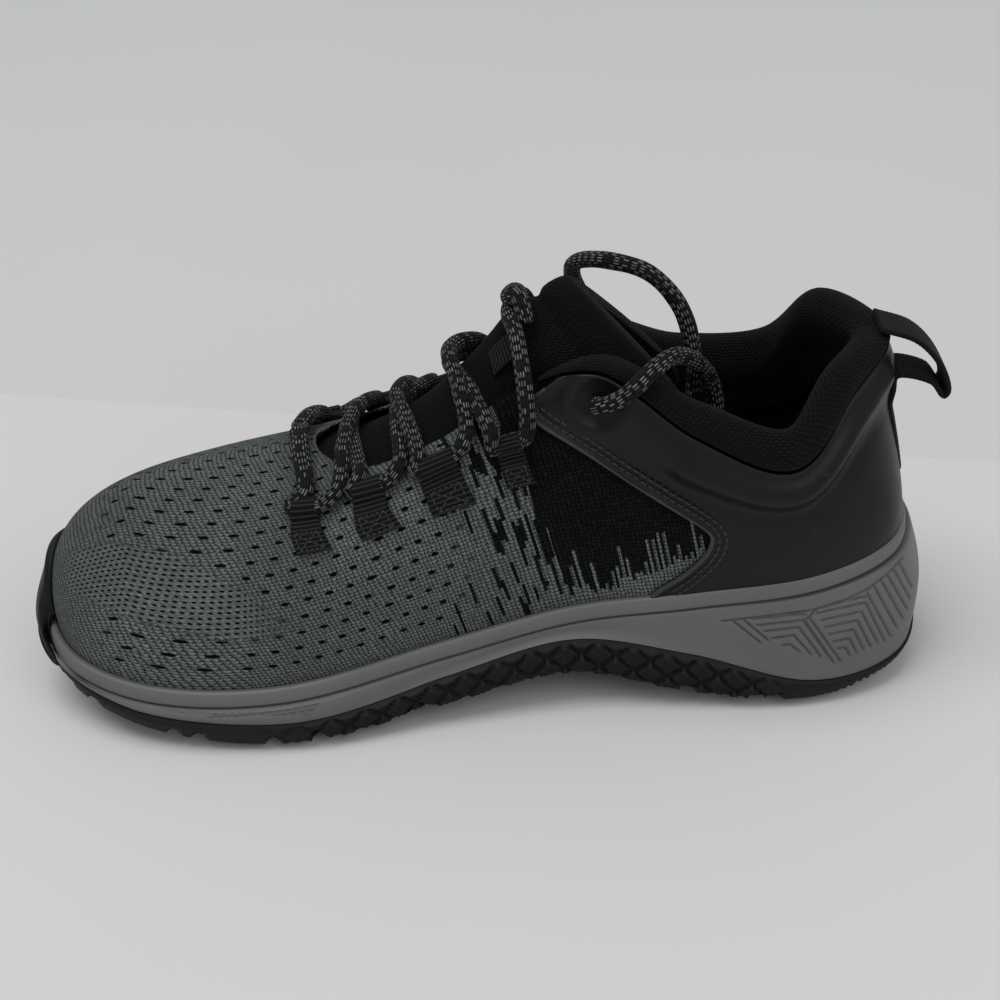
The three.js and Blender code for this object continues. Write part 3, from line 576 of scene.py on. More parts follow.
def moulded_material(name, grain, cloud, dust, tones, rough, relief, specular):
    """Moulded stuff: fine grain, soft clouds, specks of dust, and a fourth tone laid by the edge attribute: painted
    shade in grooves and cuts, a lighter band on front edges.

    grain and cloud are noise settings, dust is a noise's settings and the range that shows, tones are
    two of the clouds, the dust's and the edges', relief is the grain's and clouds' share, strength and depth.
    """
    t = Tree(name)
    spot = t.object_place()
    grains, clouds = t.noise(spot, *grain), t.noise(spot, *cloud)
    specks = t.step(t.noise(spot, *dust[0]), *dust[1])
    colour = t.mix(t.scale(clouds, 0.3, 0.72), tones[0], tones[1])
    colour = t.mix(t.mul(specks, 0.25), colour, tones[2])
    # The edge attribute lays the fourth tone: painted shade in the soles' grooves and cuts, a lighter band along the
    # covering's front edges.
    colour = t.mix(t.attribute("edge", "Fac"), colour, tones[3])
    height = t.add(t.mul(grains, relief[0]), t.mul(clouds, relief[1]))
    return t.finish(colour, t.scale(clouds, 0.3, 0.8, *rough), height, *relief[2:], Specular_IOR_Level=specular)


def webbing_material(name, thread, light):
    """Ribbed tape: cords across it, crossed by fine threads."""
    t = Tree(name)
    p, q, _ = t.split(t.attribute("weave"))
    cord = t.wave(q, 1 / thread)
    twist = t.wave(t.add(p, t.mul(q, 0.7)), 1 / 0.55)
    # Between the cords the colour falls to painted shade.
    light_part = t.mul(t.step(cord, 0.45, 0.95), t.scale(twist, 0.0, 1.0, 0.45, 1.0))
    colour = t.mix(light_part, PAINTED_SHADE_BLACK, light)
    height = t.add(cord, t.mul(twist, 0.3))
    return t.finish(colour, 0.75, height, 0.6, 0.0005, Sheen_Weight=0.02, Specular_IOR_Level=0.15)


def lace_material():
    """Braided round lace: short stitches of the braid, with pale flecks three abreast, in short runs."""
    t = Tree("lace")
    s, a, _ = t.split(t.attribute("weave"))
    pitch, strands = 2.5, 18.0
    turn = t.mul(a, strands)
    ring, group = t.cell(turn), t.cell(turn, 1 / 3)
    along = t.add(t.mul(s, 1 / pitch), t.mul(t.math("MODULO", group, 2.0), 0.5))
    x, y, cell = t.wave(along), t.wave(turn), t.cell(along)
    bead = t.mul(t.power(x, 0.5), t.power(y, 0.7))
    pale = t.math("GREATER_THAN", t.random(t.join(ring, cell, 1.0)), 0.14)
    pale = t.mul(pale, t.math("GREATER_THAN", t.random(t.join(group, cell, 5.0)), 0.12))
    tone = t.scale(t.random(t.join(ring, cell, 2.0)), 0.0, 1.0, 0.4, 1.0)
    core = t.mul(t.mul(t.step(y, 0.35, 0.8), t.step(x, 0.3, 0.62)), tone)
    # Between the braid's stitches the black deepens to painted shade.
    black = t.mix(t.step(bead, 0.1, 0.8), PAINTED_SHADE_BLACK, LACE_BLACK)
    colour = t.mix(t.mul(pale, core), black, LACE_PALE)
    return t.finish(colour, 0.75, bead, 0.8, 0.0005, Sheen_Weight=0.02, Specular_IOR_Level=0.15)


def thread_material(name, tone):
    t = Tree(name)
    twist = t.noise(t.object_place(), 2500.0, 1.0)
    colour = t.mix(twist, tuple(0.4 * c for c in tone), tone)
    return t.finish(colour, 0.6, twist, 0.3, 0.0002, Sheen_Weight=0.1)


def floor_material(name, tone):
    t = Tree(name)
    spot = t.object_place()
    cloud, speck = t.noise(spot, 3.0, 4.0, 0.6), t.noise(spot, 260.0, 3.0, 0.6)
    colour = t.mix(t.scale(cloud, 0.3, 0.7, 0.0, 0.5), tone, tuple(0.95 * c for c in tone))
    return t.finish(colour, 0.62, speck, 0.05, 0.0003, Specular_IOR_Level=0.35)


KNIT = knit_material()
LINING = lining_material("lining", 1.5, 1.0, (0.0085, 0.0093, 0.0101))
TONGUE_KNIT = lining_material("tongue_knit", 1.3, 0.9, (0.009, 0.0098, 0.0106))
# The covering's fourth tone is a lighter band laid along its front edges.
SATIN = moulded_material(
    "synthetic", (1400.0, 3.0, 0.6), (30.0, 4.0, 0.55), ((260.0, 5.0, 0.7), (0.66, 0.74)),
    [(0.0045, 0.0048, 0.005), (0.0068, 0.0072, 0.0073), (0.06, 0.06, 0.058), (0.05, 0.053, 0.055)],
    (0.33, 0.5), (0.35, 0.5, 0.2, 0.0008), 0.23,
)
# The foam's fourth tone, darker, is painted shade in its groove and carved lines.
FOAM = moulded_material(
    "foam", (1700.0, 2.0, 0.6), (26.0, 4.0, 0.6), ((90.0, 6.0, 0.7), (0.6, 0.75)),
    [(0.125, 0.127, 0.121), (0.112, 0.114, 0.111), (0.161, 0.161, 0.153), (0.055, 0.056, 0.055)],
    (0.46, 0.6), (1.0, 0.3, 0.1, 0.0004), 0.45,
)
# The rubber's fourth tone, a little darker, is painted shade in its tread grooves and side cuts.
RUBBER = moulded_material(
    "rubber", (1200.0, 3.0, 0.6), (40.0, 4.0, 0.6), ((300.0, 6.0, 0.75), (0.55, 0.75)),
    [(0.0055, 0.0057, 0.0056), (0.0095, 0.0098, 0.0094), (0.03, 0.03, 0.028), (0.006, 0.006, 0.006)],
    (0.5, 0.68), (1.0, 0.0, 0.2, 0.0004), 0.2,
)
WEBBING = webbing_material("webbing", 1.6, (0.036, 0.0378, 0.0388))
LOOP_TAPE = webbing_material("loop_webbing", 0.8, (0.0125, 0.0133, 0.0137))
KEEPER = webbing_material("keeper_webbing", 1.1, (0.045, 0.047, 0.048))
LACE = lace_material()
THREAD = thread_material("thread", (0.02, 0.021, 0.022))
# The piping's tone, lighter than the thread's, is partly its own and partly a painted highlight along the bead.
PIPING_TONE_AND_HIGHLIGHT = thread_material("piping", (0.036, 0.038, 0.039))
FLOOR = floor_material("floor", (0.73, 0.71, 0.69))
WALL = floor_material("wall", (0.67, 0.68, 0.645))


# The upper: one knitted shell. Its zones are told by x and z, in millimetres: where the openings end
# at the toe, where the black is solid at each height, and how high the grey spikes' foot is.
HOLES_END = 218
SOLID_BLACK = ((44, 55, 76, 88), (77, 80, 84, 93))
SPIKE_BASE = ((30, 44, 53, 65, 77, 84), (52, 45, 40, 37, 36, 33))
# The fine band's lower and upper edge, as points on the inner side.
FINE_LOW = np.array([
    [226, 24, 41], [223, 27, 43], [206, 38, 41], [189, 43, 39], [171, 47, 37], [155, 46, 39],
], float)
FINE_HIGH = np.array([
    [224, 18, 52], [214, 22, 57], [189, 32, 58], [170, 41, 52], [158, 45, 43], [148, 45, 35],
], float)
# From here on the knit's rows turn round the toe.
TOE_TURN, TOE_SWEEP = 186, 46


def side_rows(x, inner):
    """Half width, low and top height of the upper at a length, on its inner or outer side."""
    ribs = np.linspace(0, 9, 90)
    one, two = feather_point(ribs), feather_point(RIBS - ribs)
    spots = np.clip(x, -25, 205)
    half, low = (
        np.where(inner, np.interp(spots, one[:, 0], one[:, k]), sign * np.interp(spots, two[:, 0], two[:, k]))
        for k, sign in ((1, -1), (2, 1))
    )
    edge = edge_point(np.arange(0, 10.0))
    vamp = wall_point(9.0, np.linspace(1, 0, 30))
    line = np.vstack([edge, vamp[vamp[:, 0] > edge[-1, 0] + 1]])
    order = np.argsort(line[:, 0])
    top = np.interp(spots, line[order, 0], line[order, 2])
    return np.maximum(half, 5), low, top


def flatten(points):
    """Knit coordinates of points on the upper: along, up the side, whole girth, in millimetres."""
    x, y, z = np.moveaxis(np.asarray(points, float), -1, 0)
    half, low, top = side_rows(x, y > 0)
    up = np.maximum(z - low, 0) / np.maximum(top - low, 5)
    angle = np.arctan2(np.abs(y) / half, up + 1e-6) * 2 / np.pi
    reach = 0.5 * np.pi * np.sqrt((half**2 + (top - low) ** 2) / 2)
    radius = np.hypot(y, z - low)
    past = np.maximum(x - TOE_TURN, 0)
    along = np.minimum(x, TOE_TURN) + TOE_SWEEP * np.arctan2(past, np.maximum(radius, 8))
    lean = np.interp(x, [60, 100, 125, 170, 225], [0.3, 0.36, 0.5, 0.5, 0.15])
    down = reach * angle
    along = along + lean * (np.sqrt(down**2 + 64) - 8)
    side = reach - down
    girth = np.where(y > 0, side, 2 * reach - side)
    return along, side, girth


def knit_zones(points):
    """Amounts of openings, fine openings and black columns, and the height above the spikes' foot."""
    x, z = points[..., 0], points[..., 2]
    _, side, _ = flatten(points)
    low, high = (flatten(rows) for rows in (FINE_LOW, FINE_HIGH))
    band_low = np.interp(x, FINE_LOW[::-1, 0], low[1][::-1])
    band_high = np.interp(x, FINE_HIGH[::-1, 0], high[1][::-1])
    fine = ease(band_low - 1.5, band_low + 1.5, side) * ease(band_high + 1.5, band_high - 1.5, side)
    fine = fine * ease(146, 172, x) * ease(230, 222, x)
    solid = np.interp(z, *SOLID_BLACK)
    dense = np.clip((solid + 38 - x) / 38, 0, 1.5)
    holes = (1 - fine) * (1 - ease(210, HOLES_END, x)) * ease(96, 112, x) * ease(2, 6, side)
    spikes = z - np.interp(x, *SPIKE_BASE) + 60 * ease(solid + 4, solid + 14, x)
    return np.stack([holes, fine, dense], -1), spikes


def make_upper():
    places = np.linspace(0, RIBS, 640, endpoint=False)[:, None]
    levels = np.concatenate([[-1, -0.3], np.linspace(0, 0.985, 100)])
    outer = on_upper(places, levels[None], 0)
    lip = [on_upper(places, 0.997, -0.35), on_upper(places, 1.0, -1.0), on_upper(places, 0.997, -1.65)]
    inner_levels = np.array([0.98, 0.9, 0.8, 0.7, 0.6, 0.5, 0.4, 0.3, 0.2, 0.1, 0, -1])
    inner = on_upper(places, inner_levels[None], -UPPER_WALL)
    grid = np.concatenate([outer, *lip, inner], 1)
    along, _, girth = flatten(grid)
    zones, spikes = knit_zones(grid)
    # Inside, the knit is plain black.
    inside = outer.shape[1] + 1
    zones[:, inside:] = (0, 0, 2)
    spikes[:, inside:] = 99
    attributes = {"weave": vec(along, girth, 0), "zone": zones, "spikes": spikes}
    piece = make_loft("upper_knit", grid, KNIT, attributes, close_rows=True)
    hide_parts("upper")


# The smooth covering of heel and quarters, with its moulded lines.
OVERLAY_FRONT = [3.34, 3.1, 2.94, 2.86, 2.88, 3.18, 3.82, 4.26, 4.58, 4.76, 4.44]
EYELET_RIB, EYELET_V = 3.96, 0.88


def step_on(place, v, move):
    """The place and v that lie a small tangent vector, in millimetres, from a spot on the upper."""
    place, v = np.asarray(place, float), np.asarray(v, float)
    e = 0.004
    a = (wall_point(place + e, v) - wall_point(place - e, v)) / (2 * e)
    w = np.clip(v, e, 1 - e)
    b = (wall_point(place, w + e) - wall_point(place, w - e)) / (2 * e)
    aa, ab, bb = (a * a).sum(-1), (a * b).sum(-1), (b * b).sum(-1)
    am, bm = (a * move).sum(-1), (b * move).sum(-1)
    det = aa * bb - ab * ab
    return place + (am * bb - bm * ab) / det, v + (bm * aa - am * ab) / det


def even_path(place, v, offset, spacing):
    """Places and v of spots spaced evenly, in millimetres, along a line on the upper."""
    walk = arc_length(on_upper(place, v, offset), 0)
    spots = np.arange(0, walk[-1], spacing)
    return np.interp(spots, walk, place), np.interp(spots, walk, v)


def front_line(hand, inset, v_from=0.0, v_to=1.0, count=160):
    """A line on the upper, inside the overlay's front edge by inset millimetres."""
    v = np.linspace(v_from, v_to, count)
    place = side_rib(ramp(OVERLAY_FRONT, v), hand)
    points = on_upper(place, v, 0)
    tangent = unit(np.gradient(points, axis=0))
    across = unit(np.cross(wall_normal(place, v), tangent))
    heel = on_upper(side_rib(0.5, hand), 0.4, 0) - points
    across = across * np.sign((across * heel).sum(-1, keepdims=True))
    return step_on(place, v, across * inset)


# The moulded lines, as rib and v.
RIDGE = [[0.35, 0.86], [0.8, 0.8], [1.2, 0.77], [1.6, 0.76], [2.1, 0.76], [2.6, 0.77], [3.1, 0.79]]
VALLEY = [
    [3.9, 0.78], [3.5, 0.7], [3.1, 0.64], [2.6, 0.62], [2.1, 0.62], [1.6, 0.63], [1.1, 0.66], [0.6, 0.72],
]
OVERLAY_COLUMNS = 400


def near_line(points, line):
    """Distance of each point from a polyline's samples."""
    flat = points.reshape(-1, 3)
    best = np.full(len(flat), 1e9)
    for spot in line:
        best = np.minimum(best, ((flat - spot) ** 2).sum(1))
    return np.sqrt(best).reshape(points.shape[:-1])


def overlay_relief(base):
    rise = np.zeros(base.shape[:-1])
    for hand in (1, -1):
        for rows, height, width in ((RIDGE, 1.3, 3.6), (VALLEY, -0.85, 4.5)):
            line = spline(np.array(rows), 90)
            line = on_upper(side_rib(line[:, 0], hand), line[:, 1], 0)
            rise += height * bump_at(near_line(base, line), 0, width)
        eye = on_upper(side_rib(EYELET_RIB, hand), EYELET_V, 0)
        d = np.linalg.norm(base - eye, axis=-1)
        rise += 1.4 * bump_at(d, 9, 2.6) - 1.4 * bump_at(d, 0, 6)
        edge = near_line(base, on_upper(*front_line(hand, 0.0), 0))
        rise += 0.35 * bump_at(edge, 1, 0.8) - 0.35 * bump_at(edge, 3.2, 1.7)
    return rise


def make_overlay():
    levels = np.concatenate([[0.0, 0.006], np.linspace(0.015, 0.99, 104), [0.997]])
    share = np.linspace(0, 1, OVERLAY_COLUMNS)[:, None]
    reach = ramp(OVERLAY_FRONT, levels)[None]
    places = lerp(-reach, reach, share)
    base, normals = on_upper(places, levels[None], 0), wall_normal(places, levels[None])
    # The front edges thin out over three columns, and are lighter over five.
    columns_in = np.minimum(share, 1 - share) * OVERLAY_COLUMNS
    thick = OVERLAY_WALL * lerp(0.35, 1, np.sqrt(np.minimum(1, columns_in / 3)))
    outer = base + normals * (OVERLAY_GAP + thick + overlay_relief(base))[..., None]
    inner = base + normals * 0.3
    grid = np.concatenate([outer, inner[:, ::-1]], 1)
    rim = np.zeros(grid.shape[:-1])
    rim[:, : outer.shape[1]] = 0.55 * (1 - ease(0, 5, columns_in)) * ease(0.42, 0.5, levels)[None]
    piece = make_loft("quarter_covering", grid, SATIN, {"edge": rim})
    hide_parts("quarter_overlay")


def stitch_rows():
    """Twin rows of stitches inside the window's edge, and a bead of piping on the edge."""
    items = []
    for hand in (1, -1):
        for inset in (2.6, 4.6):
            p, w = even_path(*front_line(hand, inset, 0.06, 0.93), 2.0, 2.5)
            points = on_upper(p, w, OVERLAY_GAP + OVERLAY_WALL - 0.12)
            normals = wall_normal(p, w)
            for start, stop, normal in zip(points[:-1], points[1:], normals):
                items.append((start, lerp(start, stop, 0.78), normal, 0.36, 0.34))
    make_stitches("quarter_stitches", items)
    for hand, label in HANDS:
        p, w = even_path(*front_line(hand, 0.5, 0.004, 0.965, 300), 2.0, 0.7)
        path = on_upper(p, w, OVERLAY_GAP + 0.9)
        size = np.full(len(path), 0.75)
        # The piping's lighter tone carries a painted highlight in part.
        make_loft(f"quarter_piping_{label}", tube_grid(path, size, size, 10), PIPING_TONE_AND_HIGHLIGHT)


# The padded collar lining.
LINING_REACH = 14 / 3
LINING_OVER = [0.4, 1.07, 1.5, 1.36, 0.57, 0.21]
LINING_PAD = [0.93, 1, 1, 0.93, 0.79, 0.43]
LINING_LEVELS = [0.58, 0.7, 0.8, 0.9, 1]


def lining_outline(place):
    share = ribs_from_heel(place) / LINING_REACH
    over = float(ramp(LINING_OVER, share)) * PADDING
    pad = float(ramp(LINING_PAD, share)) * PADDING
    inside, outside = -UPPER_WALL - GAP, OVERLAY_GAP + OVERLAY_WALL
    top, normal = edge_point(place), wall_normal(place, 1)
    up = unit(wall_point(place, 1) - wall_point(place, 0.97))
    puff = float(swell(place, 1))

    def roll(rise, off):
        return top + up * (2 * GAP + rise * over) + normal * (off + puff)

    outer = [on_upper(place, v, inside) for v in LINING_LEVELS]
    rolled = [
        roll(0, inside), roll(0.02, outside - 0.6), roll(0.12, outside + 0.15), roll(0.45, outside),
        roll(0.8, outside - 0.28 * pad), roll(1, outside - 0.7 * pad),
        roll(0.9, inside - 0.6 * pad), roll(0.45, inside - 0.95 * pad),
    ]
    depths = [1.02, 0.95, 0.7, 0.45, 0.25]
    inner = [on_upper(place, v, inside - pad * d) for v, d in zip(LINING_LEVELS[::-1], depths)]
    return np.array(outer + rolled + inner)


def make_lining():
    places = np.linspace(-LINING_REACH, LINING_REACH, 300)
    rows = np.array([lining_outline(p) for p in places])
    grid = np.array([np.vstack([row[:6], spline(row[6:], 70)]) for row in rows])
    walk = arc_length(grid, 1)
    along = arc_length(grid[:, 40:41], 0)
    quilt = 0.18 * np.sin(along * 0.9) * np.sin(walk * 0.5)
    weave = vec(along, walk + quilt, 0)
    piece = make_loft("collar_padding", grid, LINING, {"weave": weave})
    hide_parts("collar_lining")


# The tongue.
TONGUE = table("rib along top under low", [
    [8.1, 0.7, 0.668, 0.58, 0.86], [7.6, 0.655, 0.7, 0.58, 0.86], [6.9, 0.6, 0.765, 0.58, 0.86],
    [6.2, 0.55, 0.84, 0.58, 0.84], [5.5, 0.5, 0.955, 0.68, 0.8], [4.85, 0.455, 1.085, 1.44, 0.76],
    [4.2, 0.42, 1.155, 1.84, 0.72], [3.6, 0.396, 1.188, 2, 0.7], [3.15, 0.386, 1.193, 2.12, 0.68],
])
TONGUE_THICKNESS, TONGUE_COLUMNS = 5, 81


def tongue_face(share, count):
    """The tongue's outer face across, from the inner side to the outer."""
    rib, along, top, under, low = (float(ramp(TONGUE[k], share)) for k in ("rib", "along", "top", "under", "low"))
    out = (around(EDGE["out"], rib) + around(EDGE["out"], RIBS - rib)) * 0.25 * BALL_WIDTH
    middle = np.array([along * LENGTH - HEEL_CENTRE, out, top * COLLAR_HEIGHT])
    wings = [
        [on_upper(p, v, -under * TONGUE_THICKNESS) for v in (low, lerp(low, 1, 0.5), 0.99)]
        for p in (rib, RIBS - rib)
    ]
    return spline(np.array(wings[0] + [middle] + wings[1][::-1]), count)


def make_tongue():
    shares = np.linspace(0, 1, 130)
    face = np.array([tongue_face(s, TONGUE_COLUMNS) for s in shares])
    across = np.gradient(face, axis=1)
    down = unit(np.cross(across, np.array([-1, 0, 0.75])))
    down = np.where(down[..., 2:] > 0.2, -down, down)
    place = np.linspace(0, 1, TONGUE_COLUMNS)[None]
    from_side = np.minimum(place, 1 - place)
    edge = np.minimum(from_side * (TONGUE_COLUMNS - 1), 17) / 17
    thin = np.minimum(1, 0.3 + 0.7 * np.sqrt(edge)) * (0.5 + 0.5 * np.minimum(1, shares * 5))[:, None]
    girth = arc_length(face, 1)
    length = arc_length(face[:, 40:41], 0)
    # A padded rim: a soft channel runs inside the top and the sides.
    channel = np.minimum((length[-1, 0] - length) * 0.9, from_side * girth[:, -1:] - 6)
    swelling = 1.1 * bump_at(channel, 4, 4.5) - 1.2 * bump_at(channel, 10.5, 1.5) + 0.8 * bump_at(channel, 19, 7)
    swelling = swelling * ease(0.45, 0.7, shares)[:, None]
    # The top edge is rounded over the last rows.
    last = np.clip((shares - 0.965) / 0.035, 0, 1)[:, None]
    full = TONGUE_THICKNESS * thin
    thick = full * np.sqrt(np.clip(1 - last**2, 0.02, 1))
    outer = face + down * ((full - thick) * 0.45 - swelling)[..., None]
    inner = outer + down * np.maximum(thick + swelling, 0.4)[..., None]
    grid = np.concatenate([outer, inner[:, ::-1]], 1)
    piece = make_loft("tongue_padding", grid, TONGUE_KNIT, {"weave": weave_twice(length, girth)})
    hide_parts("tongue")


# Carved lines of the midsole, as polylines where they appear in the picture.
HEEL_LINES = [
    [(722, 622), (812, 611), (845, 601), (868, 590), (890, 573), (903, 558)],
    [(752, 620), (806, 615)], [(757, 626), (803, 621), (829, 657)], [(765, 632), (799, 628), (821, 657)],
    [(772, 639), (794, 636), (811, 655)], [(783, 646), (790, 645), (799, 652)],
    [(733, 622), (760, 643)], [(744, 621), (768, 641)],
    [(804, 620), (834, 663)], [(811, 620), (841, 662)], [(807, 620), (818, 609), (866, 597)],
    [(818, 614), (866, 603), (885, 641)], [(822, 621), (862, 612), (878, 643)], [(826, 628), (858, 621), (871, 647)],
    [(830, 635), (854, 630), (864, 650)], [(834, 642), (850, 639), (857, 653)], [(838, 649), (846, 648), (850, 656)],
    [(868, 594), (891, 636)], [(875, 587), (897, 627)], [(882, 581), (903, 618)], [(888, 575), (907, 608)],
    [(894, 569), (910, 598)], [(900, 563), (912, 587)],
]
FORE_LINES = [
    [(68, 655), (110, 687), (160, 703), (205, 709)], [(84, 672), (120, 694), (170, 709), (208, 714)],
    [(104, 688), (140, 702), (185, 714)],
] + [[(212 + 8 * k, 718 - 0.25 * k), (221 + 8 * k, 709 - 0.4 * k)] for k in range(13)]


def carved(points, lines, width):
    """1 on the polylines and 0 away from them, by distance in the picture; the outer side is mirrored."""
    mirrored = vec(points[..., 0], np.abs(points[..., 1]), points[..., 2]).reshape(-1, 3)
    x, y = in_picture(mirrored)
    best = np.full(len(x), 1e9)
    for line in lines:
        for (ax, ay), (bx, by) in zip(line[:-1], line[1:]):
            length = (bx - ax) ** 2 + (by - ay) ** 2
            f = np.clip(((x - ax) * (bx - ax) + (y - ay) * (by - ay)) / length, 0, 1)
            best = np.minimum(best, (x - ax - f * (bx - ax)) ** 2 + (y - ay - f * (by - ay)) ** 2)
    return np.exp(-best / width**2).reshape(points.shape[:-1])


# The sole.
def rib_point(place, out, z):
    p = feather_point(place) + outward(place) * np.asarray(out, float)[..., None]
    p[..., 2] = z
    return p


def column(rows, key, place, size):
    return around(rows[key], place) * size


def rim_z(place):
    return column(FEATHER, "rim", place, RIM_HEIGHT)


def bed_z(place):
    return column(FEATHER, "bed", place, BED_HEIGHT)


def ground_z(place):
    return np.maximum(0, column(SIDE, "ground", place, ARCH_HEIGHT))


def tread_z(place):
    return np.maximum(0, column(SIDE, "tread", place, ARCH_HEIGHT))


def plate_z(place):
    return tread_z(place) + PLATE


def belly_out(place):
    return column(SIDE, "belly", place, HEEL_FLARE)


def foot_out(place):
    return column(SIDE, "foot", place, HEEL_FLARE)


def core_out(place):
    return np.minimum(belly_out(place), foot_out(place)) - OUTSOLE_WALL


def base_z(place):
    """The sole's parting line, where the rubber's lip stands a little up the foam at the forefoot."""
    lip = 3.2 * ease(5.2, 6.6, np.minimum(place, RIBS - place))
    return np.maximum(column(SIDE, "base", place, RIM_HEIGHT), plate_z(place) + 2 * GAP) + lip


def spine_point(place, z_of):
    near = np.clip(np.minimum(place, RIBS - place), 5 / 3, 22 / 3)
    a, b = feather_point(near), feather_point(RIBS - near)
    middle = (a + b) / 2
    middle[..., 2] = (z_of(near) + z_of(RIBS - near)) / 2
    return middle


def spine_loft(name, rows, material, attributes):
    """rows: sections round the shoe, each from the middle line out, round the side and back in."""
    return make(name, rows, grid_quads(*rows.shape[:2], True, False), material, attributes)


# How high between the parting line and the groove the belly stands out most, and how far the side has
# drawn in from the belly to the foot at the parting line.
BELLY_SHARE, TUCK_SHARE = 0.42, 0.6


def midsole_face(place):
    """The midsole's visible side as (out, z), from the rim's top to the outsole."""
    rim, base = rim_z(place), base_z(place)
    groove, lip = rim - GROOVE_DROP, RIM_WALL + 1
    belly = belly_out(place)
    belly_z, tuck = lerp(base, groove, BELLY_SHARE), lerp(belly, foot_out(place), TUCK_SHARE)
    deep = GROOVE_DEPTH * (1 + 1.9 * (1 - ease(0.6, 2.4, ribs_from_heel(place))))
    rows = [
        (lip - 1.5, rim), (lip - 0.65, rim - 0.5), (lip - 0.1, rim - 2), (lip + 0.05, rim - 3.6),
        (lip - 0.05, groove + 0.75), (lip - 0.45, groove + 0.3), (lip - deep, groove), (lip - 0.2, groove - 0.45),
        (lerp(lip, belly, 0.3), groove - 0.95), (lerp(lip, belly, 0.62), lerp(groove, belly_z, 0.35)),
        (lerp(lip, belly, 0.9), lerp(groove, belly_z, 0.7)), (belly, belly_z),
        (lerp(belly, tuck, 0.3), lerp(belly_z, base, 0.5)), (tuck, base),
    ]
    return [np.stack([row[k] + 0 * place for row in rows], -1) for k in (0, 1)]


def heel_places(fine, coarse):
    """Places round the shoe, packed more closely round the heel."""
    heel = np.linspace(-3.3, 3.3, fine, endpoint=False)
    return np.concatenate([heel, np.linspace(3.3, RIBS - 3.3, coarse, endpoint=False)])


def make_midsole():
    places = heel_places(480, 380)
    profile = midsole_face(places)
    last = profile[0].shape[1] - 1
    dense = [[], []]
    for k in range(last):
        for f in np.linspace(0, 1, 3 if k < 8 else 12, endpoint=False):
            a, b, c, d = (min(max(k + j, 0), last) for j in (-1, 0, 1, 2))
            for q, line in zip(profile, dense):
                # The groove keeps its corners.
                straight = 4 <= k <= 6
                line.append(lerp(q[:, b], q[:, c], f) if straight else smooth(*(q[:, n] for n in (a, b, c, d)), f))
    face = [rib_point(places, out, z) for out, z in zip(*dense)]
    face = np.stack([*face, rib_point(places, profile[0][:, last], profile[1][:, last])], 1)
    from_groove = (rim_z(places) - GROOVE_DROP)[:, None] - face[..., 2]
    below = ease(0.6, 1.6, from_groove)
    heel_cut = carved(face, HEEL_LINES, 1.0) * (face[..., 0] < 45) * below
    fore_cut = carved(face, FORE_LINES, 1.3) * (face[..., 0] > 110) * below
    # Darker in the groove and along the carved lines: painted shade in these recesses.
    edge = (1 - ease(0.05, 0.75, np.abs(from_groove))) * 0.8 + 0.8 * heel_cut + 0.6 * fore_cut
    face = face - outward(places)[:, None] * (0.85 * heel_cut + 0.7 * fore_cut)[..., None]
    under = plate_z(places) + 0.5
    first = [spine_point(places, bed_z)] + [rib_point(places, GAP, z_of(places)) for z_of in (bed_z, rim_z)]
    last = [rib_point(places, core_out(places), z) for z in (base_z(places), under)]
    last.append(spine_point(places, lambda p: plate_z(p) + 0.5))
    grid = np.concatenate([np.stack(first, 1), face, np.stack(last, 1)], 1)
    edge = np.pad(edge, [(0, 0), (len(first), len(last))])
    piece = spine_loft("midsole_foam", grid, FOAM, {"edge": edge})
    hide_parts("midsole")


# The tread's grooves: where along the shoe, and turned by how many degrees.
GROOVES = [
    (0.065, 0), (0.115, 14), (0.165, -14), (0.215, 14), (0.275, 0), (0.56, 0), (0.615, 16),
    (0.67, -16), (0.725, 16), (0.78, -16), (0.84, 12), (0.895, -10), (0.95, 0),
]
GROOVE_WIDTH, LUG_HEIGHT, LUG_STEP = 4.4, 3, 10.5


def tread_groove(points):
    """Depth of the tread's grooves at points seen from below."""
    depth = np.zeros(points.shape[:-1])
    for along, angle in GROOVES:
        a = math.radians(angle)
        x = points[..., 0] - (along * LENGTH - HEEL_CENTRE)
        gap = np.abs(x * math.cos(a) + points[..., 1] * math.sin(a))
        depth = np.maximum(depth, LUG_HEIGHT * ease(GROOVE_WIDTH / 2 + 0.3, GROOVE_WIDTH / 2 - 0.5, gap))
    return depth


def side_lugs(walk, down, height, arch):
    """Rise of the diamond lugs and fine cuts on the outsole's side wall."""
    u, t = walk / LUG_STEP, down * np.maximum(height, 4) / 8.6
    one, two = u + t, u - t
    a, b = (np.abs(np.mod(x, 1) - 0.5) * 2 for x in (one, two))
    edge = ease(0.72, 0.94, np.maximum(a, b))
    slope = 0.5 * (np.mod(two, 1) - 0.5)
    turn = np.where(np.mod(np.floor(one), 2) > 0.5, 1, -1)
    hatch = 0.28 * np.sin((u * 9.5 + t * 8.2 * turn) * 2 * np.pi / 1.7)
    lugs = (1.2 + slope * 1.6 + hatch) * (1 - edge) - 0.6 * edge
    return lugs * arch * ease(0.04, 0.16, down) * ease(1, 0.9, down)


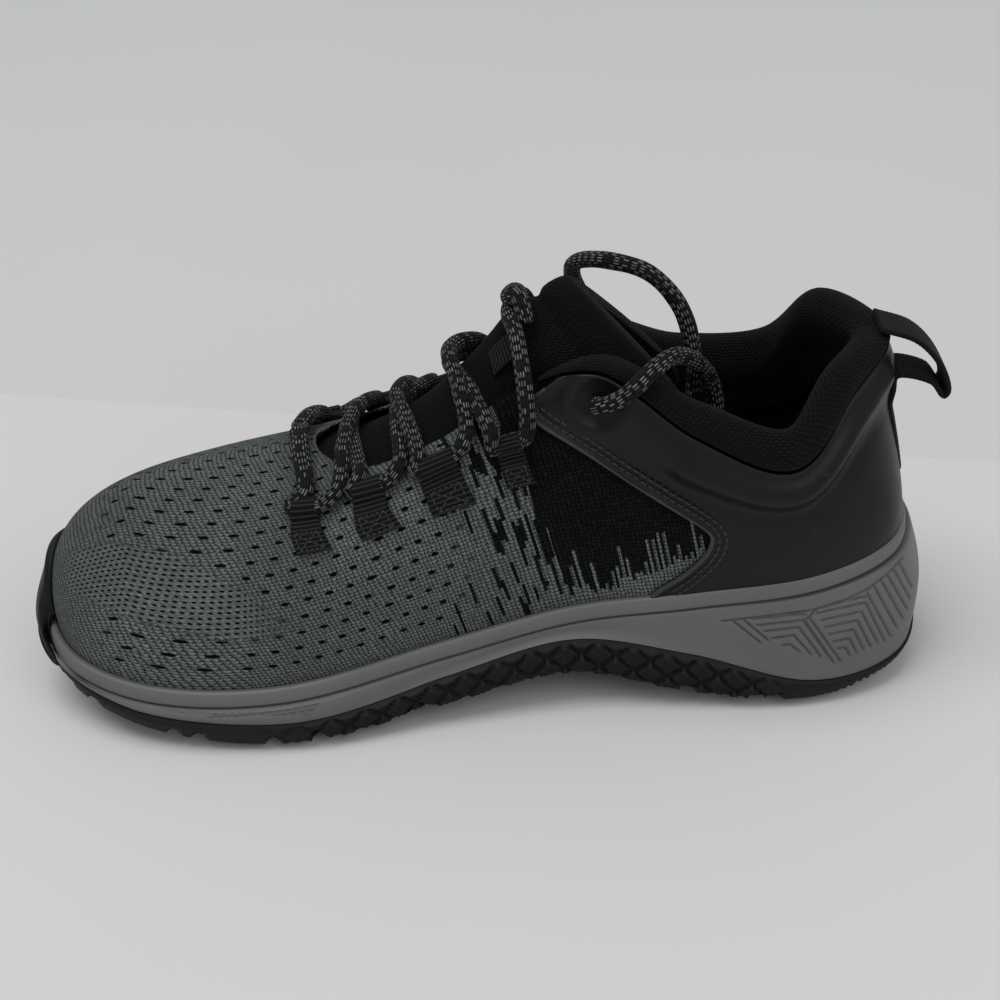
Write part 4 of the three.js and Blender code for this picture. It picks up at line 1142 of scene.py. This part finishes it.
def outsole_relief(face, down, height, places):
    """How far the outsole's side stands out or is cut in."""
    walk = arc_length(face[:, 10:11], 0)
    rib = np.minimum(places, RIBS - places)[:, None]
    rise = side_lugs(walk, down, height, ease(1.9, 2.7, rib) * ease(6.4, 5.6, rib))
    # Round the heel, short upright cuts along the lower edge.
    teeth = ease(0.5, 0.8, down) * ease(-0.2, 0.5, np.sin(walk * 2 * np.pi / 2.6))
    rise = rise - 0.7 * teeth * ease(2.2, 1.4, rib)
    # At the forefoot, notches where the tread's grooves come out.
    gap = np.full(face.shape[:-1], 99.0)
    for along, angle in GROOVES:
        slant = face[..., 1] * math.tan(math.radians(angle))
        gap = np.minimum(gap, np.abs(face[..., 0] - (along * LENGTH - HEEL_CENTRE) + slant))
    return rise - 1.5 * ease(2.0, 1.2, gap) * ease(0.45, 0.6, down) * ease(5.0, 5.8, rib)


def make_outsole():
    places = np.linspace(0, RIBS, 860, endpoint=False)
    base, foot, ground = base_z(places) - GAP, foot_out(places), ground_z(places)
    shoulder, wide, low = lerp(belly_out(places), foot, TUCK_SHARE), foot + 0.4, lerp(base, ground, 0.6)
    side = [
        (lerp(shoulder, wide, f) + 0.35 * math.sin(math.pi * f), lerp(base, low, f)) for f in np.linspace(0, 1, 22)
    ]
    side += [(lerp(wide, foot, f), lerp(low, ground + 0.8, f)) for f in np.linspace(0, 1, 11)[1:]]
    side += [(foot - 0.5, ground + 0.25), (foot - 1.2, ground + 0.03), (foot - 2, ground)]
    face = np.stack([rib_point(places, out, z) for out, z in side], 1)
    core = core_out(places) + 0.5
    first = [spine_point(places, plate_z)] + [rib_point(places, core, z) for z in (plate_z(places), base)]
    height = (base - ground)[:, None]
    down = (base[:, None] - face[..., 2]) / height
    rise = outsole_relief(face, down, height, places)
    lip = bump_at(down, 0.1, 0.06) * 0.5
    face = face + outward(places)[:, None] * (rise + lip)[..., None]
    low = [
        rib_point(places, lerp(foot - 2, foot - TREAD_INSET, f), lerp(ground, tread_z(places), f))
        for f in np.linspace(0, 1, 7)[1:]
    ]
    bottom = [lerp(low[-1], spine_point(places, tread_z), f) for f in np.linspace(0, 1, 36)[1:]]
    grid = np.concatenate([np.stack(first, 1), face, np.stack(low + bottom, 1)], 1)
    # The grooves fade in over the last rows of the side.
    fade = np.ones(grid.shape[1])
    start = len(first) + face.shape[1] - 9
    fade[:start], fade[start : start + 9] = 0, np.linspace(0, 1, 9)
    depth = tread_groove(grid) * fade[None]
    grid[..., 2] += depth
    # Darker in the tread's grooves and the side's cuts: painted shade in these recesses.
    edge = np.clip(depth / LUG_HEIGHT, 0, 1) * 0.6
    edge[:, len(first) : len(first) + face.shape[1]] += np.clip(-rise * 0.9, 0, 1)
    piece = spine_loft("outsole_rubber", grid, RUBBER, {"edge": edge})
    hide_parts("outsole")


# The rubber that climbs over the front of the toe.
BUMPER_RIB, BUMPER_HALF, BUMPER_SPREAD, BUMPER_TOP, BUMPER_WALL = 9.12, 0.58, 0.5, 48, 2


def skin_point(place, z, offset, reach):
    """A point over the sole's side and, from the rim to a reach above it, over to the upper's skin."""
    rim, base, belly = rim_z(place), base_z(place), belly_out(place)
    groove = rim - GROOVE_DROP
    belly_z = lerp(base, groove, BELLY_SHARE)
    bulge = 1 - (1 - np.clip((groove - z) / (groove - belly_z), 0, 1)) ** 2.2
    tuck = np.clip((belly_z - z) / (belly_z - base), 0, 1) ** 1.7
    out = lerp(lerp(RIM_WALL + 1, belly, bulge), lerp(belly, foot_out(place), TUCK_SHARE), tuck)
    sole = rib_point(place, out + offset, z)
    # The upper's v at this height, by halving.
    low, high = np.zeros(z.shape), np.full(z.shape, 0.9)
    for _ in range(16):
        middle = (low + high) / 2
        below = wall_point(place, middle)[..., 2] < z
        low, high = np.where(below, middle, low), np.where(below, high, middle)
    upper = wall_point(place, low) + wall_normal(place, np.maximum(low, 0.05)) * np.asarray(offset)[..., None]
    return lerp(sole, upper, ease(rim - 1.0, rim + reach, z)[..., None])


def make_bumper():
    s = np.linspace(-1, 1, 110)[:, None]
    shares = np.linspace(0, 1, 46)[None]
    crown, from_end = np.sqrt(np.clip(1 - s * s, 0, 1)), 1 - np.abs(s)
    place = BUMPER_RIB + s * (BUMPER_HALF + BUMPER_SPREAD * (1 - shares) ** 2)
    rim = rim_z(BUMPER_RIB + s * (BUMPER_HALF + BUMPER_SPREAD * 0.25))
    top = lerp(rim - 3, BUMPER_TOP, crown)
    base = base_z(BUMPER_RIB + s * (BUMPER_HALF + BUMPER_SPREAD)) - 0.8
    z = lerp(base, top, shares)
    # The wall thins out at the top, the foot and both ends.
    wall = BUMPER_WALL * np.clip((1 - shares) * 12, 0.12, 1) ** 0.5 * lerp(0.6, 1, np.clip(shares * 4, 0, 1))
    wall = wall * np.clip(from_end * 14, 0.1, 1) ** 0.5 * lerp(0.3, 1, crown)
    reach = np.clip(top - rim, 4, 15)
    outer = skin_point(place, z, (GAP + 0.25) * np.clip(from_end * 8, 0, 1) + wall, reach)
    inner = skin_point(place, z, GAP - 0.6 + 0 * z, reach)
    grid = np.concatenate([outer, inner[:, ::-1]], 1)
    make_loft("toe_bumper", grid, RUBBER)


# The sock liner inside: how far it stays off the wall, floats and is thick.
LINER_INSET, LINER_LIFT, LINER_THICK = -3.2, 0.55, 5


def make_insole():
    places = np.linspace(0, RIBS, 240, endpoint=False)
    low = bed_z(places) + LINER_LIFT
    top = low + LINER_THICK
    middle = spine_point(places, lambda p: bed_z(p) + LINER_LIFT + LINER_THICK)
    edge = rib_point(places, LINER_INSET - 1, top)
    rows = []
    for f in np.linspace(0, 1, 30):
        row = lerp(middle, edge, f)
        # The liner cups up a little towards the wall.
        row[..., 2] += 12.8 * max(0, f - 0.75) ** 2
        rows.append(row)
    rows += [rib_point(places, LINER_INSET, z) for z in (top - 0.6, low)]
    rows.append(spine_point(places, lambda p: bed_z(p) + LINER_LIFT))
    grid = np.stack(rows, 1)
    piece = spine_loft("sock_liner", grid, LINING, {"weave": grid})
    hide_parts("insole")


# Webbing tabs.
TABS = table("rib v low_rib low_v half", [
    [6.88, 0.77, 6.22, 0.53, 0.17], [6.3, 0.815, 5.68, 0.53, 0.18],
    [5.58, 0.81, 5.08, 0.51, 0.2], [4.82, 0.755, 4.54, 0.53, 0.14],
])
TAB_WALL, TAB_NARROW = 1.3, 0.86


def tab_spot(row, hand, a, b):
    rib = lerp(TABS["rib"][row], TABS["low_rib"][row], b) + a * TABS["half"][row] * TAB_NARROW
    return side_rib(rib, hand), lerp(TABS["v"][row], TABS["low_v"][row], b)


def make_tab(row, hand):
    """A band folded over the lace: it climbs the upper, turns over, and is sewn flat lower down."""
    a = np.linspace(-1, 1, 41)[:, None]
    b = np.concatenate([np.linspace(-0.16, 0.0, 8), np.linspace(0, 1.0, 70)[1:]])[None]
    lift = 5.4 * np.sqrt(np.clip(1 - ((b - 0.1) / 0.26) ** 2, 0, 1)) * (b < 0.36)
    lift = np.where(b > 0.1, 5.4 * np.exp(-(((b - 0.1) / 0.24) ** 2)), lift)
    sewn = TAB_WALL + 0.25 * bump_at(b, 0.62, 0.25)
    height = np.maximum(lift, sewn + 0.5)
    height = np.where(b < 0.1, np.maximum(lift, 0.4), height)
    ribs = 0.22 * np.abs(np.sin(b * 17 * np.pi / 1.16)) * (b < 0.56)
    box = 0.25 * np.maximum(bump_at(np.abs(a), 0.78, 0.09) * (b > 0.6), bump_at(b, 0.64, 0.018) + bump_at(b, 0.93, 0.018))
    rounding = np.sqrt(np.clip((1.06 - np.abs(a)) / 0.12, 0.15, 1))
    tail = np.sqrt(np.clip((1.02 - b) / 0.04, 0.2, 1))
    place, v = tab_spot(row, hand, a, np.clip(b, -0.1, 1))
    outer = on_upper(place, v, (height + ribs - box) * rounding * tail)
    under = on_upper(place, v, np.where(b < 0.36, 0.25, 0.2) + 0 * a)
    grid = np.concatenate([outer, under[:, ::-1]], 1)
    length = b * 19 + 0 * a
    width = a * 6 + 0 * b
    weave = np.stack([width, length, 0 * width], -1)
    weave = np.concatenate([weave, weave[:, ::-1]], 1)
    name = f"lace_tape_{'inner' if hand > 0 else 'outer'}_{row + 1}"
    piece = make_loft(name, grid, WEBBING, {"weave": weave})
    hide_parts(f"lace_tab_{'inner' if hand > 0 else 'outer'}_{row + 1}")


def tab_stitches():
    """A stitched box on the lower half of each tab."""
    items = []
    corners = [(-0.72, 0.6), (0.72, 0.6), (0.72, 0.94), (-0.72, 0.94), (-0.72, 0.6)]
    lines = [corners, [(-0.72, 0.6), (0.72, 0.94)], [(0.72, 0.6), (-0.72, 0.94)]]
    for hand in (1, -1):
        for row in range(4):
            for line in lines:
                for (a, b), (c, d) in zip(line[:-1], line[1:]):
                    count = max(3, int(np.hypot((c - a) * 6.2, (d - b) * 19) / 1.7))
                    f = np.linspace(0, 1, count + 1)
                    place, v = tab_spot(row, hand, lerp(a, c, f), lerp(b, d, f))
                    points = on_upper(place, v, TAB_WALL + 0.62)
                    normals = wall_normal(place, v)
                    for start, stop, normal in zip(points[:-1], points[1:], normals):
                        items.append((start, lerp(start, stop, 0.75), normal, 0.24, 0.22))
    make_stitches("tab_stitches", items)


# Laces.
LACE_RADIUS = 2.6
LACE_REST = LACE_RADIUS + 1.6 * GAP
OVER_REST = LACE_REST + OVERLAY_GAP + OVERLAY_WALL
CROSSINGS = [(0.628, 0.77, 1), (0.575, 0.84, 0.6), (0.517, 0.975, 1.1), (0.452, 1.13, 3.9)]
INNER_END = [
    (0.352, 0.64, 0.965), (0.333, 0.65, 1.0), (0.314, 0.59, 1.036), (0.289, 0.43, 1.043),
    (0.264, 0.24, 0.985), (0.245, 0.1, 0.9), (0.236, 0.05, 0.8), (0.236, 0.03, 0.64),
]
OUTER_END = [
    (0.37, -0.61, 0.99), (0.382, -0.55, 1.08), (0.378, -0.4, 1.155), (0.345, -0.2, 1.195),
    (0.305, -0.1, 1.175), (0.275, -0.05, 1.09), (0.26, -0.03, 0.96), (0.258, -0.04, 0.8),
    (0.262, -0.06, 0.62),
]


def tube_grid(path, wide, thick, sides, first=(0, 0, 1)):
    """An oval tube's rings along a path, its broad side kept level by carrying a frame along."""
    tangent = unit(np.gradient(path, axis=0))
    side = unit(np.cross(np.array(first, float), tangent[0]))
    rings, angles = [], np.linspace(0, 2 * np.pi, sides, endpoint=False)
    for k, t in enumerate(tangent):
        side = unit(side - t * (side @ t))
        up = np.cross(t, side)
        rings.append(path[k] + np.outer(np.cos(angles) * wide[k], side) + np.outer(np.sin(angles) * thick[k], up))
    return np.array(rings)


def make_lace(name, points, replaced=(), step=0.8, wide=2.75, thick=2.35):
    rough = spline(np.array(points, float), 200)
    total = arc_length(rough, 0)[-1]
    path = spline(np.array(points, float), int(total / step))
    walk = arc_length(path, 0)
    sway = 1 + 0.03 * np.sin(walk * 0.21) + 0.02 * np.sin(walk * 0.57)
    ends = np.sqrt(np.clip(np.minimum(walk, walk[-1] - walk) / 1.2, 0.05, 1))
    grid = tube_grid(path, wide * sway * ends, thick * (2 - sway) * ends, 20)
    angle = np.linspace(0, 1, 20, endpoint=False)[None] + 0 * walk[:, None]
    rows, size = grid.shape[:2]
    # One more column of points closes the braid's coordinates without a break.
    grid = np.concatenate([grid, grid[:, :1]], 1)
    weave = np.stack([walk[:, None] + 0 * angle, angle, 0 * angle], -1)
    weave = np.concatenate([weave, np.stack([walk, 0 * walk + 1, 0 * walk], -1)[:, None]], 1)
    piece = make(name, grid, grid_quads(rows, size + 1), LACE, {"weave": weave})
    if replaced:
        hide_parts(*replaced)
    return piece, path


def tab_end(row, hand, a):
    if row == 4:
        return beside_tongue(hand)
    rest = OVER_REST if row == 3 else LACE_REST
    rib = TABS["rib"][row] + a * TABS["half"][row] * 1.3
    return on_upper(side_rib(rib, hand), TABS["v"][row] + 0.05, rest)


def through_tab(row, hand):
    """Points under the fold, front to back."""
    points = []
    for a in (1.2, 0.55, 0.0, -0.55, -1.2):
        place, v = tab_spot(row, hand, a, 0.07)
        points.append(on_upper(place, v, LACE_RADIUS - 0.1))
    return points


def beside_tongue(hand):
    outline = tongue_face(0.66, 15)
    spot = outline[5 if hand > 0 else 9]
    return spot + unit(np.array([0, hand * 0.6, 1])) * (LACE_RADIUS + 5 * GAP)


def over_tongue(along, top, lift=0.0):
    return np.array([along * LENGTH - HEEL_CENTRE, 0, top * COLLAR_HEIGHT + lift])


def strand(start, middle, end, lift):
    def shoulder(p):
        q = lerp(p, middle, 0.5)
        q[2] += 0.2 * abs(middle[2] - p[2]) + lift
        return q

    return [start, shoulder(start), middle, shoulder(end), end]


def lacing(hand):
    """The lace from the bar to where it goes down beside the tongue."""
    bar = strand(tab_end(0, -hand, 1), over_tongue(0.684, 0.762), tab_end(0, hand, 1), 0.6)
    points = bar[2:]
    for row in range(4):
        points += through_tab(row, hand)
        along, top, lift = CROSSINGS[row]
        over = 1.2 if (row + (hand > 0)) % 2 else -2.6
        crossing = strand(tab_end(row, hand, -1), over_tongue(along, top, over), tab_end(row + 1, -hand, 1), lift)
        points += crossing
        hand = -hand
    return points


def make_laces():
    nodes = ["lace_bar"] + [f"lace_crossing_{i}" for i in range(1, 5)]
    make_lace("lace_one", lacing(1), nodes)
    make_lace("lace_two", lacing(-1))
    for label, rows, hand in (("inner", INNER_END, 1), ("outer", OUTER_END, -1)):
        rib = side_rib(EYELET_RIB, hand)
        start = [on_upper(rib, EYELET_V, off) for off in (1, OVER_REST)]
        rest = [np.array([a * LENGTH - HEEL_CENTRE, o * BALL_WIDTH / 2, t * COLLAR_HEIGHT]) for a, o, t in rows]
        piece, path = make_lace(f"lace_tail_{label}", start + rest, [f"lace_end_{label}"], wide=2.65, thick=2.5)
        tip_path = path[-16:] + 0
        tip_path = np.vstack([tip_path, tip_path[-1] + (tip_path[-1] - tip_path[-2]) * np.arange(1, 4)[:, None]])
        tip = tube_grid(tip_path, np.full(len(tip_path), 2.78), np.full(len(tip_path), 2.66), 16)
        aglet = make_loft(f"lace_aglet_{label}", tip, THREAD)
        float(arc_length(path, 0)[-1]) * MM


KEEPER_FROM, KEEPER_TO, KEEPER_COLUMN, KEEPER_HALF = 0.56, 0.65, 28, 3.6
KEEPER_OFF = [0.1, 1.3, 1.9, 1.3, 0.1]


def make_keeper():
    """A short ribbed band on the tongue's inner side, sewn down at both ends."""
    middle, across = [], []
    for share in np.linspace(KEEPER_FROM, KEEPER_TO, len(KEEPER_OFF)):
        face = tongue_face(float(share), 81)
        middle.append(face[KEEPER_COLUMN])
        across.append(unit(face[KEEPER_COLUMN + 4] - face[KEEPER_COLUMN - 4]))
    along = unit(np.gradient(np.array(middle), axis=0))
    lift = unit(np.cross(along, across))
    lift *= np.sign(lift[:, 2:])
    path = spline(np.array(middle) + lift * (np.array(KEEPER_OFF)[:, None] + 0.4), 60)
    shares = np.linspace(0, len(KEEPER_OFF) - 1, len(path))[:, None]
    across, lift = (sample_rows(np.array(rows), shares) for rows in (across, lift))
    angles = np.linspace(0, 2 * np.pi, 36, endpoint=False)
    box = np.stack([np.cos(angles), np.sin(angles)], 1)
    box = np.sign(box) * np.abs(box) ** 0.3
    walk = arc_length(path, 0)
    grid = path[:, None] + box[None, :, :1] * KEEPER_HALF * across[:, None] + box[None, :, 1:] * 0.6 * lift[:, None]
    weave = np.stack([box[None, :, 0] * 4 + 0 * walk[:, None], walk[:, None] + 0 * angles[None], 0 * walk[:, None] * angles[None]], -1)
    make_loft("tongue_keeper", grid, KEEPER, {"weave": weave})


def sample_rows(rows, shares):
    low = np.clip(np.floor(shares).astype(int), 0, len(rows) - 2)
    return unit(lerp(rows[low[:, 0]], rows[low[:, 0] + 1], shares - low))


# The pull loop at the heel.
LOOP_WIDTH, LOOP_WALL = 14, 1.8
LOOP_FOLD = [
    (0.1447, -0.1193), (0.1821, -0.165), (0.1933, -0.1501), (0.168, -0.0725), (0.0979, 0.0069), (-0.0049, 0.048),
]


HEEL_RADIUS = 24


def back_end(path, back):
    """Where on the loop's path its strip leaves the heel."""
    return int(np.argmin(np.linalg.norm(path - back[-1] * [1, 0, 1], axis=1)))


def make_loop():
    rest = OVERLAY_GAP + OVERLAY_WALL + 0.05 + LOOP_WALL / 2
    back = [on_upper(0, v, rest - 1.1) for v in (0.2, 0.3, 0.4, 0.5, 0.6, 0.7, 0.78)]
    top = edge_point(0)
    fold = [np.array([top[0] - a * COLLAR_HEIGHT, 0, top[2] + b * COLLAR_HEIGHT]) for a, b in LOOP_FOLD]
    path = spline(np.array(back + fold) * [1, 0, 1], 170)
    tangent = unit(np.gradient(path, axis=0))
    normal = np.cross(tangent, [0, 1, 0])
    walk = arc_length(path, 0)
    angles = np.linspace(0, 2 * np.pi, 36, endpoint=False)
    box = np.stack([np.cos(angles), np.sin(angles)], 1)
    box = np.sign(box) * np.abs(box) ** 0.3
    ribs = 1 + 0.05 * np.sin(walk * 2 * np.pi / 1.5)
    grid = (
        path[:, None]
        + box[None, :, :1] * (LOOP_WIDTH / 2 * (0.97 + 0.03 * ribs))[:, None, None] * np.array([0, 1, 0])
        + box[None, :, 1:] * (LOOP_WALL / 2 * ribs)[:, None, None] * normal[:, None]
    )
    # Below the fold the strip bends round the heel.
    wrap = 1 - ease(0.62, 0.86, walk / walk[back_end(path, back)])
    grid[..., 0] += wrap[:, None] * grid[..., 1] ** 2 / (2 * HEEL_RADIUS)
    weave = np.stack([box[None, :, 0] * 7 + 0 * walk[:, None], walk[:, None] + 0 * angles[None], 0 * walk[:, None] * angles[None]], -1)
    piece = make_loft("heel_loop", grid, LOOP_TAPE, {"weave": weave})
    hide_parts("pull_loop")


def floor_spot(x, y):
    """The floor's spot behind a place in the picture, in metres."""
    ray = (CAMERA_RIGHT * (x - PICTURE / 2) - CAMERA_UP * (y - PICTURE / 2)) / FOCAL - CAMERA_BACK
    spot = CAMERA_PLACE - ray * CAMERA_PLACE[2] / ray[2]
    return Vector((spot[0] * MM, spot[1] * MM, FLOOR_TOP))


FLOOR_TOP, FLOOR_REACH = -0.0005, 5.0
HORIZON = ((0.0, 393.0), (1000.0, 462.0))


def make_room():
    """A pale floor. Behind the photo's horizon line it takes the wall's tone and stays level, so that
    nothing stands between the shoe and a view from its far side."""
    left, right = (floor_spot(*place) for place in HORIZON)
    along = (right - left).normalized() * FLOOR_REACH
    across = Vector((-along.y, along.x, 0))
    for name, reach, material in (("floor", -across, FLOOR), ("floor_behind", across, WALL)):
        corners = [left - along, right + along, right + along + reach, left - along + reach]
        mesh = bpy.data.meshes.new(name)
        mesh.from_pydata([tuple(c) for c in corners], [], [(0, 1, 2, 3)])
        mesh.materials.append(material)
        piece = bpy.data.objects.new(name, mesh)
        bpy.context.scene.collection.objects.link(piece)


def make_lights():
    world = bpy.data.worlds.new("room")
    world.use_nodes = True
    background = world.node_tree.nodes["Background"]
    background.inputs[0].default_value = (0.93, 0.96, 1.0, 1)
    background.inputs[1].default_value = 0.42
    bpy.context.scene.world = world
    for name, place, aim, size, power in (
        ("key", (0.95, 0.4, 3.3), (0.08, 0, 0), 2.4, 52),
        ("fill", (-1.4, 2.1, 2.2), (0.08, 0, 0), 2.4, 22),
    ):
        data = bpy.data.lights.new(name, "AREA")
        data.shape, data.size, data.energy = "DISK", size, power
        light = bpy.data.objects.new(name, data)
        light.location = place
        light.rotation_euler = (Vector(aim) - Vector(place)).to_track_quat("-Z", "Y").to_euler()
        bpy.context.scene.collection.objects.link(light)
    view = bpy.context.scene.view_settings
    view.view_transform, view.look, view.exposure = "Standard", "None", 0.0


make_laces()
make_upper()
make_overlay()
stitch_rows()
make_lining()
make_tongue()
make_midsole()
make_outsole()
make_bumper()
make_insole()
for hand in (1, -1):
    for row in range(4):
        make_tab(row, hand)
tab_stitches()
make_loop()
make_keeper()
make_room()
make_lights()
